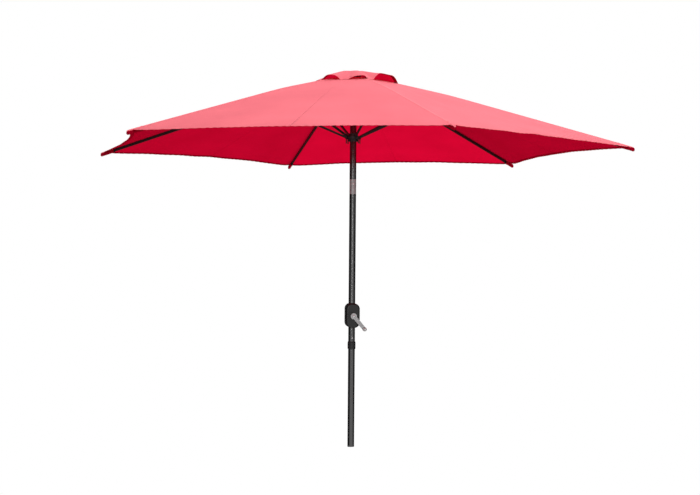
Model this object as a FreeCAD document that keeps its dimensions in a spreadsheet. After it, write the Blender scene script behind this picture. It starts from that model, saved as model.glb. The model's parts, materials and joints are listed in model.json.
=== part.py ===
"""A tilting, cranked patio umbrella with a six-ribbed canopy, in millimetres.

The origin is the centre of the pole's lower end, +Z runs up the pole and the crank faces -Y.
"""
import FreeCAD
import Part
import math
import os

import Sketcher

doc = FreeCAD.newDocument("patio_umbrella")
sheet = doc.addObject("Spreadsheet::Sheet", "Sizes")
Vector = FreeCAD.Vector

# name, value, what it is. A share is a part of the size that it names.
SIZES = [
    ("top_height", 2092.0, "height of the ribs' pins above the pole's lower end"),
    ("tip_radius", 1550.0, "distance of the canopy's points from the axis"),
    ("pole_radius", 19.0, "outer radius of every pole section"),
    ("pole_wall", 1.5, "wall of the pole tubes"),
    ("press_gap", 0.05, "radial gap where a part is pressed or glued"),
    ("run_gap", 0.08, "radial gap of a pin that turns or a sleeve that slides"),
    ("tight_gap", 0.02, "radial gap of a pin that is driven into its hole"),
    ("part_gap", 0.2, "gap between faces that stop against each other"),
    ("plug_length", 22.0, "length of the plug in the lower end"),
    ("seam_share", 0.2751, "height of the joint in the pole, as a share of top_height"),
    ("insert_half", 96.0, "half the length of the tube inside that joint"),
    ("insert_wall", 1.6, "wall of that tube"),
    ("collar_height", 43.0, "height of the ring over the joint"),
    ("collar_wall", 3.5, "thickness of the ring"),
    ("neck_gap", 2.5, "from the foot's plain length up to the ring"),
    ("neck_length", 5.0, "length of the rolled neck at the ring's lower edge"),
    ("neck_depth", 0.5, "depth of that neck"),
    ("snap_rise", 41.0, "from the joint in the pole up to the snap button"),
    ("snap_radius", 4.25, "radius of the snap button"),
    ("snap_proud", 2.2, "how far the snap button stands out"),
    ("crank_share", 0.35564, "height of the crank's axis, as a share of top_height"),
    ("housing_rise", 1.0, "from the crank's axis up to the housing's middle"),
    ("housing_half_width", 38.5, "half the housing's width"),
    ("housing_half_height", 68.8, "half the housing's height"),
    ("housing_flat", 7.3, "half the straight part between the housing's corners"),
    ("housing_front_depth", 58.0, "how far the front shell reaches from the axis"),
    ("housing_rear_depth", 31.0, "how far the rear shell reaches from the axis"),
    ("housing_edge", 9.0, "rounding of the shells' outer edges"),
    ("housing_side", 12.2, "wall at the sides of the space in the front shell"),
    ("housing_end", 22.8, "wall at the ends of that space"),
    ("shell_wall", 4.0, "wall in front of that space"),
    ("screw_inset", 8.3, "from the housing's side to its screws"),
    ("screw_rise", 30.0, "from the housing's middle up and down to its screws"),
    ("screw_radius", 1.75, "radius of the housing's screws"),
    ("shaft_radius", 5.0, "radius of the crank shaft"),
    ("shaft_neck", 4.0, "radius of the shaft's neck in the arm"),
    ("bush_radius", 8.0, "outer radius of the shaft's bushes"),
    ("spool_radius", 9.05, "radius that the cord is wound on"),
    ("spool_share", 0.8, "radius of the spool's flanges, as a share of the pole's bore"),
    ("spool_half_share", 0.457, "half the spool's length, as a share of the pole's bore"),
    ("arm_reach", 96.0, "from the crank's axis to the knob's axis"),
    ("arm_drop", 49.6, "how far the arm points below the level, in degrees"),
    ("arm_gap", 16.0, "from the front shell to the arm's rear face"),
    ("arm_thickness", 10.0, "thickness of the arm"),
    ("hub_boss_radius", 17.0, "radius of the arm's hub"),
    ("knob_radius", 9.5, "radius of the knob"),
    ("knob_length", 19.0, "length of the knob"),
    ("knob_pin_radius", 3.0, "radius of the pin that the knob turns on"),
    ("tilt_share", 0.7027, "height of the tilt axis, as a share of top_height"),
    ("tilt_below", 40.0, "from the tilt axis down to the joint's lower end"),
    ("tilt_above", 45.0, "from the tilt axis up to the joint's upper end"),
    ("tilt_angle", 32.0, "room for the tilt, in degrees"),
    ("spigot_length", 26.0, "length of the knuckles' spigots in the pole tubes"),
    ("tongue_half_share", 0.468, "half the tilt tongue's thickness, as a share of pole_radius"),
    ("tongue_share", 0.737, "radius of the tongue's round end, as a share of pole_radius"),
    ("ear_share", 0.474, "radius of the ears beside the tongue, as a share of pole_radius"),
    ("tilt_pin_radius", 3.0, "radius of the two tilt pins"),
    ("cord_bore", 4.0, "radius of the way for the cord in the tilt joint"),
    ("tilt_button_rise", 17.0, "from the tilt axis up to the tilt button"),
    ("tilt_button_radius", 4.5, "radius of the tilt button"),
    ("tilt_button_proud", 2.0, "how far the tilt button stands out"),
    ("runner_below", 22.0, "from the struts' lower pins down to the sleeve's end"),
    ("runner_above", 23.0, "from those pins up to the sleeve's end"),
    ("runner_wall", 8.5, "wall of the runner's sleeve"),
    ("strut_out", 17.0, "from the pole's surface to the struts' lower pins"),
    ("strut_drop", 342.0, "from the ribs' pins down to the struts' lower pins"),
    ("lug_out", 9.0, "from those pins to the runner's outer edge"),
    ("leg_radius", 3.2, "radius of the legs under the runner"),
    ("rib_out", 13.0, "from the pole's surface to the ribs' pins"),
    ("hub_out", 11.0, "from the ribs' pins to the hub's outer edge"),
    ("hub_below", 14.0, "from the ribs' pins down to the hub's lower face"),
    ("hub_above", 16.0, "from the ribs' pins up to the hub's upper face"),
    ("pin_radius", 2.0, "radius of the pins in the hub"),
    ("strut_pin_radius", 2.5, "radius of the struts' pins"),
    ("inner_slope", 13.6, "slope of a rib's inner length, in degrees"),
    ("outer_slope", 16.7, "slope of a rib's outer length, in degrees"),
    ("inner_share", 0.3392, "from a rib's pin to its bend, as a share of tip_radius"),
    ("tip_gap", 20.0, "from a rib's end out to the canopy's point"),
    ("strut_share", 0.957, "from a rib's pin to its bracket, as a share of the inner length"),
    ("rib_start", 17.0, "from a rib's pin to the channel's inner end"),
    ("rib_half_width", 5.0, "half a rib's width"),
    ("rib_half_height", 8.0, "half a rib's height"),
    ("channel_wall", 1.2, "sheet thickness of ribs and struts"),
    ("bracket_wall", 1.4, "sheet thickness of the struts' brackets"),
    ("strut_room", 3.0, "gap between a folded strut and its rib"),
    ("strut_half_width", 4.0, "half a strut's width"),
    ("strut_half_height", 6.0, "half a strut's height"),
    ("canopy_turn", 38.7, "direction of the first rib from +X, in degrees"),
    ("cloth", 1.0, "thickness of the cloth"),
    ("cloth_gap", 1.6, "gap between a rib and the cloth's underside"),
    ("hem_share", 0.0484, "how far the hem curves in between two points, as a share of tip_radius"),
    ("vent_hole", 150.0, "distance of the vent opening's corners from the axis"),
    ("vent_radius", 255.0, "distance of the vent cap's corners from the axis"),
    ("vent_share", 1.579, "rise of the vent cap above the ribs' pins, as a share of pole_radius"),
    ("vent_lift", 2.0, "gap between the vent cap's corners and the canopy"),
    ("crown_radius", 55.0, "radius of the round patch on top"),
    ("pulley_drop", 42.0, "from the ribs' pins down to the pulley's axis"),
    ("pulley_pin_radius", 2.5, "radius of the pulley's pin"),
    ("cord_radius", 1.25, "radius of the lift cord"),
    ("cord_gap", 0.1, "gap between the cord and what it runs over"),
]
RIBS = 6
STEP = 360.0 / RIBS


class Size:
    """A number together with the sheet expression that gives it."""

    def __init__(self, value, text):
        self.value = float(value)
        self.text = text

    def __add__(self, other):
        other = as_size(other)
        return Size(self.value + other.value, f"({self.text} + {other.text})")

    def __sub__(self, other):
        other = as_size(other)
        return Size(self.value - other.value, f"({self.text} - {other.text})")

    def __mul__(self, other):
        other = as_size(other)
        return Size(self.value * other.value, f"({self.text} * {other.text})")

    def __truediv__(self, other):
        other = as_size(other)
        return Size(self.value / other.value, f"({self.text} / {other.text})")

    def __neg__(self):
        return Size(-self.value, f"(0.0 - {self.text})")

    def __radd__(self, other):
        return as_size(other) + self

    def __rsub__(self, other):
        return as_size(other) - self

    def __rmul__(self, other):
        return as_size(other) * self


def as_size(thing):
    if isinstance(thing, Size):
        return thing
    if thing < 0:
        return Size(thing, f"(0.0 - {abs(float(thing))!r})")
    return Size(thing, repr(float(thing)))


def cosine(angle):
    return Size(math.cos(math.radians(angle.value)), f"cos({angle.text})")


def sine(angle):
    return Size(math.sin(math.radians(angle.value)), f"sin({angle.text})")


def tangent(angle):
    return Size(math.tan(math.radians(angle.value)), f"tan({angle.text})")


def root(size):
    return Size(math.sqrt(size.value), f"sqrt({size.text})")


class Named:
    """Holds every size of the sheet under its own name."""


s = Named()
for row, (alias, value, note) in enumerate(SIZES, start=1):
    sheet.set(f"A{row}", alias)
    sheet.set(f"B{row}", str(value))
    sheet.set(f"C{row}", note)
    sheet.setAlias(f"B{row}", alias)
    setattr(s, alias, Size(value, f"Sizes.{alias}"))
doc.recompute()

# What follows from the sizes.
inner_radius = s.pole_radius - s.pole_wall
plug_radius = inner_radius - s.press_gap
over_pole = s.pole_radius + s.run_gap
s.seam_height = s.top_height * s.seam_share
s.collar_radius = s.pole_radius + s.collar_wall
s.foot_length = s.seam_height - s.collar_height / 2.0 - s.neck_gap
s.snap_height = s.seam_height + s.snap_rise
s.crank_height = s.top_height * s.crank_share
s.housing_middle = s.crank_height + s.housing_rise
s.housing_corner = s.housing_half_width - s.housing_flat
s.cavity_half_width = s.housing_half_width - s.housing_side
s.cavity_half_height = s.housing_half_height - s.housing_end
s.spool_flange = inner_radius * s.spool_share
s.spool_half = inner_radius * s.spool_half_share
s.arm_back = s.housing_front_depth + s.arm_gap
s.tilt_axis = s.top_height * s.tilt_share
s.tilt_low = s.tilt_axis - s.tilt_below
s.tilt_high = s.tilt_axis + s.tilt_above
s.tongue_half = s.pole_radius * s.tongue_half_share
s.tongue_radius = s.pole_radius * s.tongue_share
s.ear_radius = s.pole_radius * s.ear_share
s.tilt_button_height = s.tilt_axis + s.tilt_button_rise
s.rib_ring = s.pole_radius + s.rib_out
s.rib_ring_height = s.top_height
s.strut_ring = s.pole_radius + s.strut_out
s.strut_ring_height = s.top_height - s.strut_drop
s.runner_low = s.strut_ring_height - s.runner_below
s.runner_high = s.strut_ring_height + s.runner_above
s.runner_sleeve = s.pole_radius + s.runner_wall
s.runner_ring = s.strut_ring + s.lug_out
s.hub_radius = s.rib_ring + s.hub_out
s.hub_low = s.rib_ring_height - s.hub_below
s.hub_high = s.rib_ring_height + s.hub_above
s.strut_below = s.rib_half_height + s.strut_half_height + s.strut_room
s.cloth_over_rib = s.rib_half_height + s.cloth_gap
s.inner_length = s.tip_radius * s.inner_share
s.strut_along = s.inner_length * s.strut_share
s.bend_radius = s.rib_ring + s.inner_length * cosine(s.inner_slope)
s.outer_length = (s.tip_radius - s.tip_gap - s.bend_radius) / cosine(s.outer_slope)
s.hem_hollow = s.tip_radius * s.hem_share
s.vent_top = s.rib_ring_height + s.pole_radius * s.vent_share
s.cord_rise_y = -(s.cord_radius + s.cord_gap)
s.cord_fall_y = (s.pole_radius + s.runner_sleeve) / 2.0
s.cord_turn = (s.cord_fall_y - s.cord_rise_y) / 2.0
s.pulley_y = (s.cord_fall_y + s.cord_rise_y) / 2.0
s.pulley_radius = s.cord_turn - s.cord_radius - s.cord_gap
s.pulley_flange = s.pulley_radius + 2.0
s.pulley_height = s.rib_ring_height - s.pulley_drop


def bind(item, where, size):
    item.setExpression(where, as_size(size).text)


def place(item, x=0, y=0, z=0):
    for name, size in (("x", x), ("y", y), ("z", z)):
        bind(item, f"Placement.Base.{name}", size)
    return item


def turn(item, axis, angle):
    item.Placement = FreeCAD.Placement(item.Placement.Base, FreeCAD.Rotation(axis, as_size(angle).value))
    bind(item, "Placement.Rotation.Angle", angle)
    return item


# ---- sketches and features -------------------------------------------------

def new_body(name):
    body = doc.addObject("PartDesign::Body", name)
    body.Label = name
    return body


def plane_of(body, role):
    return [f for f in body.Origin.OriginFeatures if f.Role == role][0]


def draw(body, role, offset=0):
    drawing = body.newObject("Sketcher::SketchObject", "Drawing")
    drawing.AttachmentSupport = [(plane_of(body, role), "")]
    drawing.MapMode = "FlatFace"
    bind(drawing, "AttachmentOffset.Base.z", offset)
    return drawing


def fix_point(drawing, line, end, x, y):
    for kind, axis, size in (("DistanceX", -2, as_size(x)), ("DistanceY", -1, as_size(y))):
        if size.text == "0.0":
            drawing.addConstraint(Sketcher.Constraint("PointOnObject", line, end, axis))
        else:
            made = drawing.addConstraint(Sketcher.Constraint(kind, line, end, size.value))
            bind(drawing, f"Constraints[{made}]", size)


def polygon(drawing, points):
    points = [(as_size(x), as_size(y)) for x, y in points]
    corners = [Vector(x.value, y.value, 0) for x, y in points]
    lines = []
    for start, end in zip(corners, corners[1:] + corners[:1]):
        lines.append(drawing.addGeometry(Part.LineSegment(start, end), False))
    for line, following in zip(lines, lines[1:] + lines[:1]):
        drawing.addConstraint(Sketcher.Constraint("Coincident", line, 2, following, 1))
    for line, (x, y) in zip(lines, points):
        fix_point(drawing, line, 1, x, y)
    return drawing


def circle(drawing, x, y, radius):
    x, y, radius = as_size(x), as_size(y), as_size(radius)
    ring = Part.Circle(Vector(x.value, y.value, 0), Vector(0, 0, 1), radius.value)
    made = drawing.addGeometry(ring, False)
    fix_point(drawing, made, 3, x, y)
    bound = drawing.addConstraint(Sketcher.Constraint("Radius", made, radius.value))
    bind(drawing, f"Constraints[{bound}]", radius)
    return drawing


def box_points(low_x, high_x, low_y, high_y):
    return [(low_x, low_y), (high_x, low_y), (high_x, high_y), (low_x, high_y)]


def pad(body, drawing, length, middle=False, back=False):
    made = body.newObject("PartDesign::Pad", "Pad")
    made.Profile = drawing
    made.SideType = "Symmetric" if middle else "One side"
    made.Reversed = back
    bind(made, "Length", length)
    return made


def pocket(body, drawing, length, middle=False, back=False):
    made = body.newObject("PartDesign::Pocket", "Pocket")
    made.Profile = drawing
    made.SideType = "Symmetric" if middle else "One side"
    made.Reversed = back
    bind(made, "Length", length)
    return made


def spin(body, drawing, axis):
    made = body.newObject("PartDesign::Revolution", "Turned")
    made.Profile = drawing
    made.ReferenceAxis = (drawing, [axis])
    made.Angle = 360
    return made


def turned(name, axis, points):
    """A body turned about Z from (radius, height) points, or about X or Y from (along, radius)."""
    body = new_body(name)
    drawing = draw(body, "YZ_Plane" if axis == "Y" else "XZ_Plane")
    polygon(drawing, points)
    spin(body, drawing, "V_Axis" if axis == "Z" else "H_Axis")
    return body


def round_edges(body, radius, chosen):
    """Round the tip feature's edges that chosen(edge) picks."""
    doc.recompute()
    tip = body.Tip
    names = [f"Edge{i}" for i, edge in enumerate(tip.Shape.Edges, start=1) if chosen(edge)]
    made = body.newObject("PartDesign::Fillet", "Rounded")
    made.Base = (tip, names)
    bind(made, "Radius", radius)
    return made


def repeat_around(body, features):
    """Repeat features around the body's Z axis, once for each rib."""
    doc.recompute()
    made = body.newObject("PartDesign::PolarPattern", "Around")
    made.Originals = features
    made.Axis = ([f for f in body.Origin.OriginFeatures if f.Role == "Z_Axis"][0], [""])
    made.Angle = 360
    made.Occurrences = RIBS
    body.Tip = made
    return made


def cylinder(name, radius, length, axis="Z", x=0, y=0, z=0):
    """A cylinder that starts at x, y, z and runs along an axis."""
    made = doc.addObject("Part::Cylinder", name)
    bind(made, "Radius", radius)
    bind(made, "Height", length)
    if axis == "X":
        made.Placement.Rotation = FreeCAD.Rotation(Vector(0, 1, 0), 90)
    if axis == "Y":
        made.Placement.Rotation = FreeCAD.Rotation(Vector(1, 0, 0), -90)
    return place(made, x, y, z)


def block(name, low_x, high_x, low_y, high_y, low_z, high_z):
    made = doc.addObject("Part::Box", name)
    bind(made, "Length", high_x - low_x)
    bind(made, "Width", high_y - low_y)
    bind(made, "Height", high_z - low_z)
    return place(made, low_x, low_y, low_z)


def cut(name, base, tool):
    made = doc.addObject("Part::Cut", name)
    made.Base = base
    made.Tool = tool
    made.Label = name
    return made


def fuse(name, *pieces):
    made = doc.addObject("Part::MultiFuse", name)
    made.Shapes = list(pieces)
    made.Label = name
    return made


def common(name, *pieces):
    made = doc.addObject("Part::MultiCommon", name)
    made.Shapes = list(pieces)
    made.Label = name
    return made


def group(name, pieces):
    """Separate identical or matching pieces that are kept as one sub-part."""
    made = doc.addObject("Part::Compound", name)
    made.Links = pieces
    made.Label = name
    return made


def coil(name, radius, wire, length, turns, y, z):
    """A coil spring along Y from y."""
    spine = doc.addObject("Part::Helix", name + "_spine")
    bind(spine, "Radius", radius)
    bind(spine, "Height", length)
    bind(spine, "Pitch", length / turns)
    ring = doc.addObject("Part::Circle", name + "_wire")
    bind(ring, "Radius", wire)
    ring.Placement.Rotation = FreeCAD.Rotation(Vector(1, 0, 0), 90)
    bind(ring, "Placement.Base.x", radius)
    swept = doc.addObject("Part::Sweep", name)
    swept.Sections = [ring]
    swept.Spine = (spine, ["Edge1"])
    swept.Solid = True
    swept.Frenet = True
    swept.Label = name
    turn(swept, Vector(1, 0, 0), -90)
    return place(swept, 0, y, z)


# ---- the pole --------------------------------------------------------------

def tube(name, outer, inner, low, high):
    return turned(name, "Z", [(inner, low), (outer, low), (outer, high), (inner, high)])


def hole_through(body, role, x, y, radius, start, length, middle=False, back=False):
    return pocket(body, circle(draw(body, role, start), x, y, radius), length, middle, back)


def lower_pole():
    """The lower tube, plain from its end up to a rolled neck at the ring's lower edge."""
    low, high = s.foot_length, s.foot_length + s.neck_length
    deep = s.pole_radius - s.neck_depth
    points = [(inner_radius, 0), (s.pole_radius, 0), (s.pole_radius, low), (deep, low + s.neck_depth)]
    points += [(deep, high - s.neck_depth), (s.pole_radius, high), (s.pole_radius, s.seam_height)]
    points += [(inner_radius, s.seam_height)]
    return turned("lower_pole", "Z", points)


def pole_end_plug():
    floor = 0.5
    lip = plug_radius - 2.5
    points = [(0, floor), (plug_radius, floor), (plug_radius, s.plug_length)]
    points += [(lip, s.plug_length), (lip, 4.0), (0, 4.0)]
    return turned("pole_end_plug", "Z", points)


def joint_insert():
    low = s.seam_height - s.insert_half
    high = s.seam_height + s.insert_half
    body = tube("joint_insert", plug_radius, plug_radius - s.insert_wall, low, high)
    hole_through(body, "XZ_Plane", 0, s.snap_height, s.snap_radius + s.run_gap, 0, s.pole_radius, back=True)
    return body


def snap_button():
    seat = plug_radius - s.insert_wall - 1.2
    face = -(s.pole_radius + s.snap_proud)
    flange = s.snap_radius + 1.4
    points = [(face, 0), (face, s.snap_radius - 1.0), (face + 1.0, s.snap_radius)]
    points += [(-seat, s.snap_radius), (-seat, flange), (2.0 - seat, flange), (2.0 - seat, 0)]
    return place(turned("snap_button", "Y", points), 0, 0, s.snap_height)


def snap_spring():
    back = 2.1 - (plug_radius - s.insert_wall - 1.2)
    wall = plug_radius - s.insert_wall - 0.4
    top = s.snap_height + 4.0
    bend = s.snap_height - 52.0
    body = new_body("snap_spring")
    points = [(back, top), (back, s.snap_height - 6.0), (0.4, bend), (wall, top), (wall - 0.9, top)]
    points += [(0.4, bend + 4.4), (back + 0.8, s.snap_height - 6.0), (back + 0.8, top)]
    pad(body, polygon(draw(body, "YZ_Plane"), points), 6.0, middle=True)
    return body


def joint_collar():
    low = s.seam_height - s.collar_height / 2.0
    high = s.seam_height + s.collar_height / 2.0
    bore = s.pole_radius + s.press_gap
    points = [(bore, low), (s.collar_radius - 1.2, low), (s.collar_radius, low + 1.8)]
    points += [(s.collar_radius, high - 7.0), (s.collar_radius - 2.4, high), (bore, high)]
    return turned("joint_collar", "Z", points)


def middle_pole():
    body = tube("middle_pole", s.pole_radius, inner_radius, s.seam_height + s.part_gap, s.tilt_low)
    snap = s.snap_radius + s.run_gap
    hole_through(body, "XZ_Plane", 0, s.snap_height, snap, 0, s.pole_radius + 1.0, back=True)
    wide = s.pole_radius * 2.0 + 4.0
    hole_through(body, "XZ_Plane", 0, s.crank_height, s.shaft_radius + 1.0, 0, wide, middle=True)
    return body


# ---- the crank -------------------------------------------------------------

def rounded_box(drawing, half_width, middle, half_height, corner):
    """A rectangle with round corners, its middle on the sketch's vertical axis."""
    w, m, t, c = (as_size(each) for each in (half_width, middle, half_height, corner))
    left, right = -w.value, w.value
    low, high, r = m.value - t.value, m.value + t.value, c.value
    up = Vector(0, 0, 1)
    ends = [
        ((left + r, low), (right - r, low)), ((right, low + r), (right, high - r)),
        ((right - r, high), (left + r, high)), ((left, high - r), (left, low + r)),
    ]
    centres = [(right - r, low + r), (right - r, high - r), (left + r, high - r), (left + r, low + r)]
    lines = []
    arcs = []
    for (start, end), centre, quarter in zip(ends, centres, (270, 0, 90, 180)):
        line = Part.LineSegment(Vector(*start, 0), Vector(*end, 0))
        lines.append(drawing.addGeometry(line, False))
        ring = Part.Circle(Vector(*centre, 0), up, r)
        arc = Part.ArcOfCircle(ring, math.radians(quarter), math.radians(quarter + 90))
        arcs.append(drawing.addGeometry(arc, False))
    for k in range(4):
        drawing.addConstraint(Sketcher.Constraint("Tangent", lines[k], 2, arcs[k], 1))
        drawing.addConstraint(Sketcher.Constraint("Tangent", arcs[k], 2, lines[(k + 1) % 4], 1))
        kind = "Horizontal" if k % 2 == 0 else "Vertical"
        drawing.addConstraint(Sketcher.Constraint(kind, lines[k]))
    for k in range(1, 4):
        drawing.addConstraint(Sketcher.Constraint("Equal", arcs[0], arcs[k]))
    made = drawing.addConstraint(Sketcher.Constraint("Radius", arcs[0], r))
    bind(drawing, f"Constraints[{made}]", c)
    sides = (("DistanceY", 0, m - t), ("DistanceX", 1, w), ("DistanceY", 2, m + t), ("DistanceX", 3, -w))
    for kind, k, size in sides:
        made = drawing.addConstraint(Sketcher.Constraint(kind, lines[k], 1, size.value))
        bind(drawing, f"Constraints[{made}]", size)
    return drawing


SCREW_HEAD = 3.4
SCREW_END = -14.0


def screw_spots():
    side, rise = s.housing_half_width - s.screw_inset, s.screw_rise
    return [(x, s.housing_middle + z) for x in (-side, side) for z in (-rise, rise)]


def housing_shell(name, front):
    """One shell of the crank housing, from the parting face at the pole's axis outwards."""
    depth = s.housing_front_depth if front else s.housing_rear_depth
    sign = 1.0 if front else -1.0
    body = new_body(name)
    start = s.part_gap / 2.0 * sign
    outline = draw(body, "XZ_Plane", start)
    rounded_box(outline, s.housing_half_width, s.housing_middle, s.housing_half_height, s.housing_corner)
    pad(body, outline, depth - s.part_gap / 2.0, back=not front)
    face = -depth.value * sign
    round_edges(body, s.housing_edge, lambda edge: all(abs(v.Point.y - face) < 0.01 for v in edge.Vertexes))
    bore = draw(body, "XY_Plane", s.housing_middle)
    circle(bore, 0, 0, s.pole_radius + s.press_gap)
    pocket(body, bore, s.housing_half_height * 2.0 + 4.0, middle=True)
    if front:
        space = draw(body, "XZ_Plane", s.part_gap / 2.0)
        half = s.cavity_half_height
        rounded_box(space, s.cavity_half_width, s.housing_middle, half, s.cavity_half_width - 4.0)
        pocket(body, space, depth - s.shell_wall - s.part_gap / 2.0, back=True)
    hole = s.bush_radius + s.press_gap
    hole_through(body, "XZ_Plane", 0, s.crank_height, hole, 0, depth + 4.0, back=front)
    drill_screws(body, front)
    return body


def drill_screws(body, front):
    gap = s.screw_radius + (s.tight_gap if front else s.run_gap)
    holes = draw(body, "XZ_Plane", 0)
    for x, z in screw_spots():
        circle(holes, x, z, gap)
    if front:
        pocket(body, holes, -SCREW_END + 1.0, back=True)
        return
    pocket(body, holes, s.housing_rear_depth + 4.0)
    heads = draw(body, "XZ_Plane", -(s.housing_rear_depth - 9.0))
    for x, z in screw_spots():
        circle(heads, x, z, SCREW_HEAD + 0.3)
    pocket(body, heads, 12.0)


def housing_screws():
    screws = []
    seat = s.housing_rear_depth - 8.9
    for number, (x, z) in enumerate(screw_spots(), start=1):
        points = [(SCREW_END, 0), (SCREW_END, s.screw_radius), (seat, s.screw_radius), (seat, SCREW_HEAD)]
        points += [(seat + 1.6, SCREW_HEAD), (seat + 2.4, SCREW_HEAD - 1.0), (seat + 2.4, 0)]
        body = turned(f"housing_screw_{number}", "Y", points)
        screws.append(place(body, x, 0, z))
    return group("housing_screws", screws)


def shaft_bushes():
    bushes = []
    bore = s.shaft_radius + s.run_gap
    inside = s.housing_front_depth - s.shell_wall
    front = [(-s.housing_front_depth, bore), (-s.housing_front_depth, s.bush_radius)]
    front += [(-inside + 0.1, s.bush_radius), (-inside + 0.1, s.bush_radius + 3.0)]
    front += [(2.0 - inside, s.bush_radius + 3.0), (2.0 - inside, bore)]
    rear = [(s.pole_radius + 1.0, bore), (s.pole_radius + 1.0, s.bush_radius)]
    rear += [(s.housing_rear_depth - 2.0, s.bush_radius), (s.housing_rear_depth - 2.0, bore)]
    for number, points in enumerate((front, rear), start=1):
        body = turned(f"shaft_bush_{number}", "Y", points)
        bushes.append(place(body, 0, 0, s.crank_height))
    return group("shaft_bushes", bushes)


def brake_spring():
    start = -(s.housing_front_depth - s.shell_wall - 8.0)
    return coil("brake_spring", s.shaft_radius + 4.0, 1.0, as_size(20.0), 7.0, start, s.crank_height)


SHOULDER_SHORT = 6.0


def crank_shaft():
    neck = s.shaft_neck
    shoulder = -(s.arm_back - SHOULDER_SHORT)
    front = -(s.arm_back + s.arm_thickness)
    rear = s.housing_rear_depth - 4.0
    points = [(front, 2.1), (front, neck), (shoulder, neck), (shoulder, s.shaft_radius)]
    points += [(rear, s.shaft_radius), (rear, 0), (front + 16.0, 0), (front + 16.0, 2.1)]
    return place(turned("crank_shaft", "Y", points), 0, 0, s.crank_height)


def cord_spool():
    bore = s.shaft_radius + s.press_gap
    half = s.spool_half
    rim = 1.5
    points = [(-half, bore), (-half, s.spool_flange), (rim - half, s.spool_flange)]
    points += [(rim - half, s.spool_radius), (half - rim, s.spool_radius)]
    points += [(half - rim, s.spool_flange), (half, s.spool_flange), (half, bore)]
    return place(turned("cord_spool", "Y", points), 0, 0, s.crank_height)


def crank_arm():
    """The arm, drawn along its own X from the hub, with the knob's boss at the far end."""
    body = new_body("crank_arm")
    hub_back = s.housing_front_depth + 1.5
    front = s.arm_back + s.arm_thickness
    pad(body, circle(draw(body, "XZ_Plane", hub_back), 0, 0, s.hub_boss_radius), front + 2.5 - hub_back)
    web = [(0, -11.5), (s.arm_reach, -9.5), (s.arm_reach, 9.5), (0, 11.5)]
    pad(body, polygon(draw(body, "XZ_Plane", s.arm_back), web), s.arm_thickness)
    pad(body, circle(draw(body, "XZ_Plane", s.arm_back), s.arm_reach, 0, 11.5), s.arm_thickness)
    round_edges(body, 1.2, lambda edge: all(abs(v.Point.y + front.value) < 0.01 for v in edge.Vertexes))
    groove = draw(body, "XZ_Plane", front - 1.6)
    polygon(groove, box_points(26.0, 30.0, -7.0, 7.0))
    cutter = pocket(body, groove, 4.0, back=True)
    doc.recompute()
    row = body.newObject("PartDesign::LinearPattern", "Grooves")
    row.Originals = [cutter]
    row.Direction = (groove, ["H_Axis"])
    row.Length = 48.0
    row.Occurrences = 7
    body.Tip = row
    hole_through(body, "XZ_Plane", 0, 0, s.shaft_neck + s.tight_gap, 0, front + 8.0, back=True)
    step = s.arm_back - SHOULDER_SHORT + s.part_gap
    hole_through(body, "XZ_Plane", 0, 0, s.shaft_radius + s.press_gap, 0, step, back=True)
    hole_through(body, "XZ_Plane", s.arm_reach, 0, s.knob_pin_radius + s.tight_gap, 0, front + 8.0, back=True)
    turn(body, Vector(0, 1, 0), s.arm_drop)
    return place(body, 0, 0, s.crank_height)


def crank_screw():
    seat = -(s.arm_back + s.arm_thickness + 2.6)
    points = [(seat + 16.0, 0), (seat + 16.0, 2.05), (seat, 2.05), (seat, 6.5)]
    points += [(seat - 1.4, 6.5), (seat - 2.8, 4.6), (seat - 2.8, 2.2), (seat - 1.2, 1.8), (seat - 1.2, 0)]
    return place(turned("crank_screw", "Y", points), 0, 0, s.crank_height)


def knob_x():
    return s.arm_reach * cosine(s.arm_drop)


def knob_z():
    return s.crank_height - s.arm_reach * sine(s.arm_drop)


def crank_knob():
    back = -(s.arm_back + s.arm_thickness + 0.4)
    front = back - s.knob_length
    bore = s.knob_pin_radius + s.run_gap
    points = [(back, bore), (back, s.knob_radius - 2.0), (back - 5.0, s.knob_radius)]
    points += [(front + 3.0, s.knob_radius), (front, s.knob_radius - 3.0), (front, 5.6)]
    points += [(front + 2.2, 5.6), (front + 2.2, bore)]
    return place(turned("crank_knob", "Y", points), knob_x(), 0, knob_z())


def knob_pin():
    rear = -(s.arm_back - 0.1)
    front = -(s.arm_back + s.arm_thickness + 0.4 + s.knob_length)
    pin = s.knob_pin_radius
    points = [(rear + 1.6, 0), (rear + 1.6, 4.4), (rear, 5.4), (rear, pin), (front + 2.0, pin)]
    points += [(front + 2.0, 5.2), (front + 0.8, 5.2), (front + 0.2, 4.0), (front + 0.2, 0)]
    return place(turned("knob_pin", "Y", points), knob_x(), 0, knob_z())


# ---- the tilt joint --------------------------------------------------------

def ear_gap():
    return s.tongue_half + 0.15


def tilt_lower():
    """The lower knuckle: a round block with a tongue on top and a round seat on each side."""
    gap = s.part_gap
    spigot = cylinder("low_spigot", plug_radius, s.spigot_length, "Z", 0, 0, s.tilt_low - s.spigot_length)
    barrel = cylinder("low_barrel", s.pole_radius, s.tilt_below - gap, "Z", 0, 0, s.tilt_low + gap)
    disc = cylinder("tongue_disc", s.tongue_radius, s.tongue_half * 2.0, "X", -s.tongue_half, 0, s.tilt_axis)
    solid = fuse("low_solid", spigot, barrel, disc)
    seat = s.ear_radius + 0.3
    wide = s.pole_radius
    right = cylinder("seat_right", seat, wide, "X", ear_gap() - 0.1, 0, s.tilt_axis)
    left = cylinder("seat_left", seat, wide, "X", 0.1 - ear_gap() - wide, 0, s.tilt_axis)
    way = cylinder("low_way", s.cord_bore, 100.0, "Z", 0, 0, s.tilt_low - s.spigot_length - 4.0)
    hole = cylinder("tongue_hole", s.tilt_pin_radius + s.tight_gap, s.tongue_half * 2.0 + 2.0, "X",
                    -s.tongue_half - 1.0, 0, s.tilt_axis)
    return cut("tilt_lower", solid, fuse("low_tools", right, left, way, hole))


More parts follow.
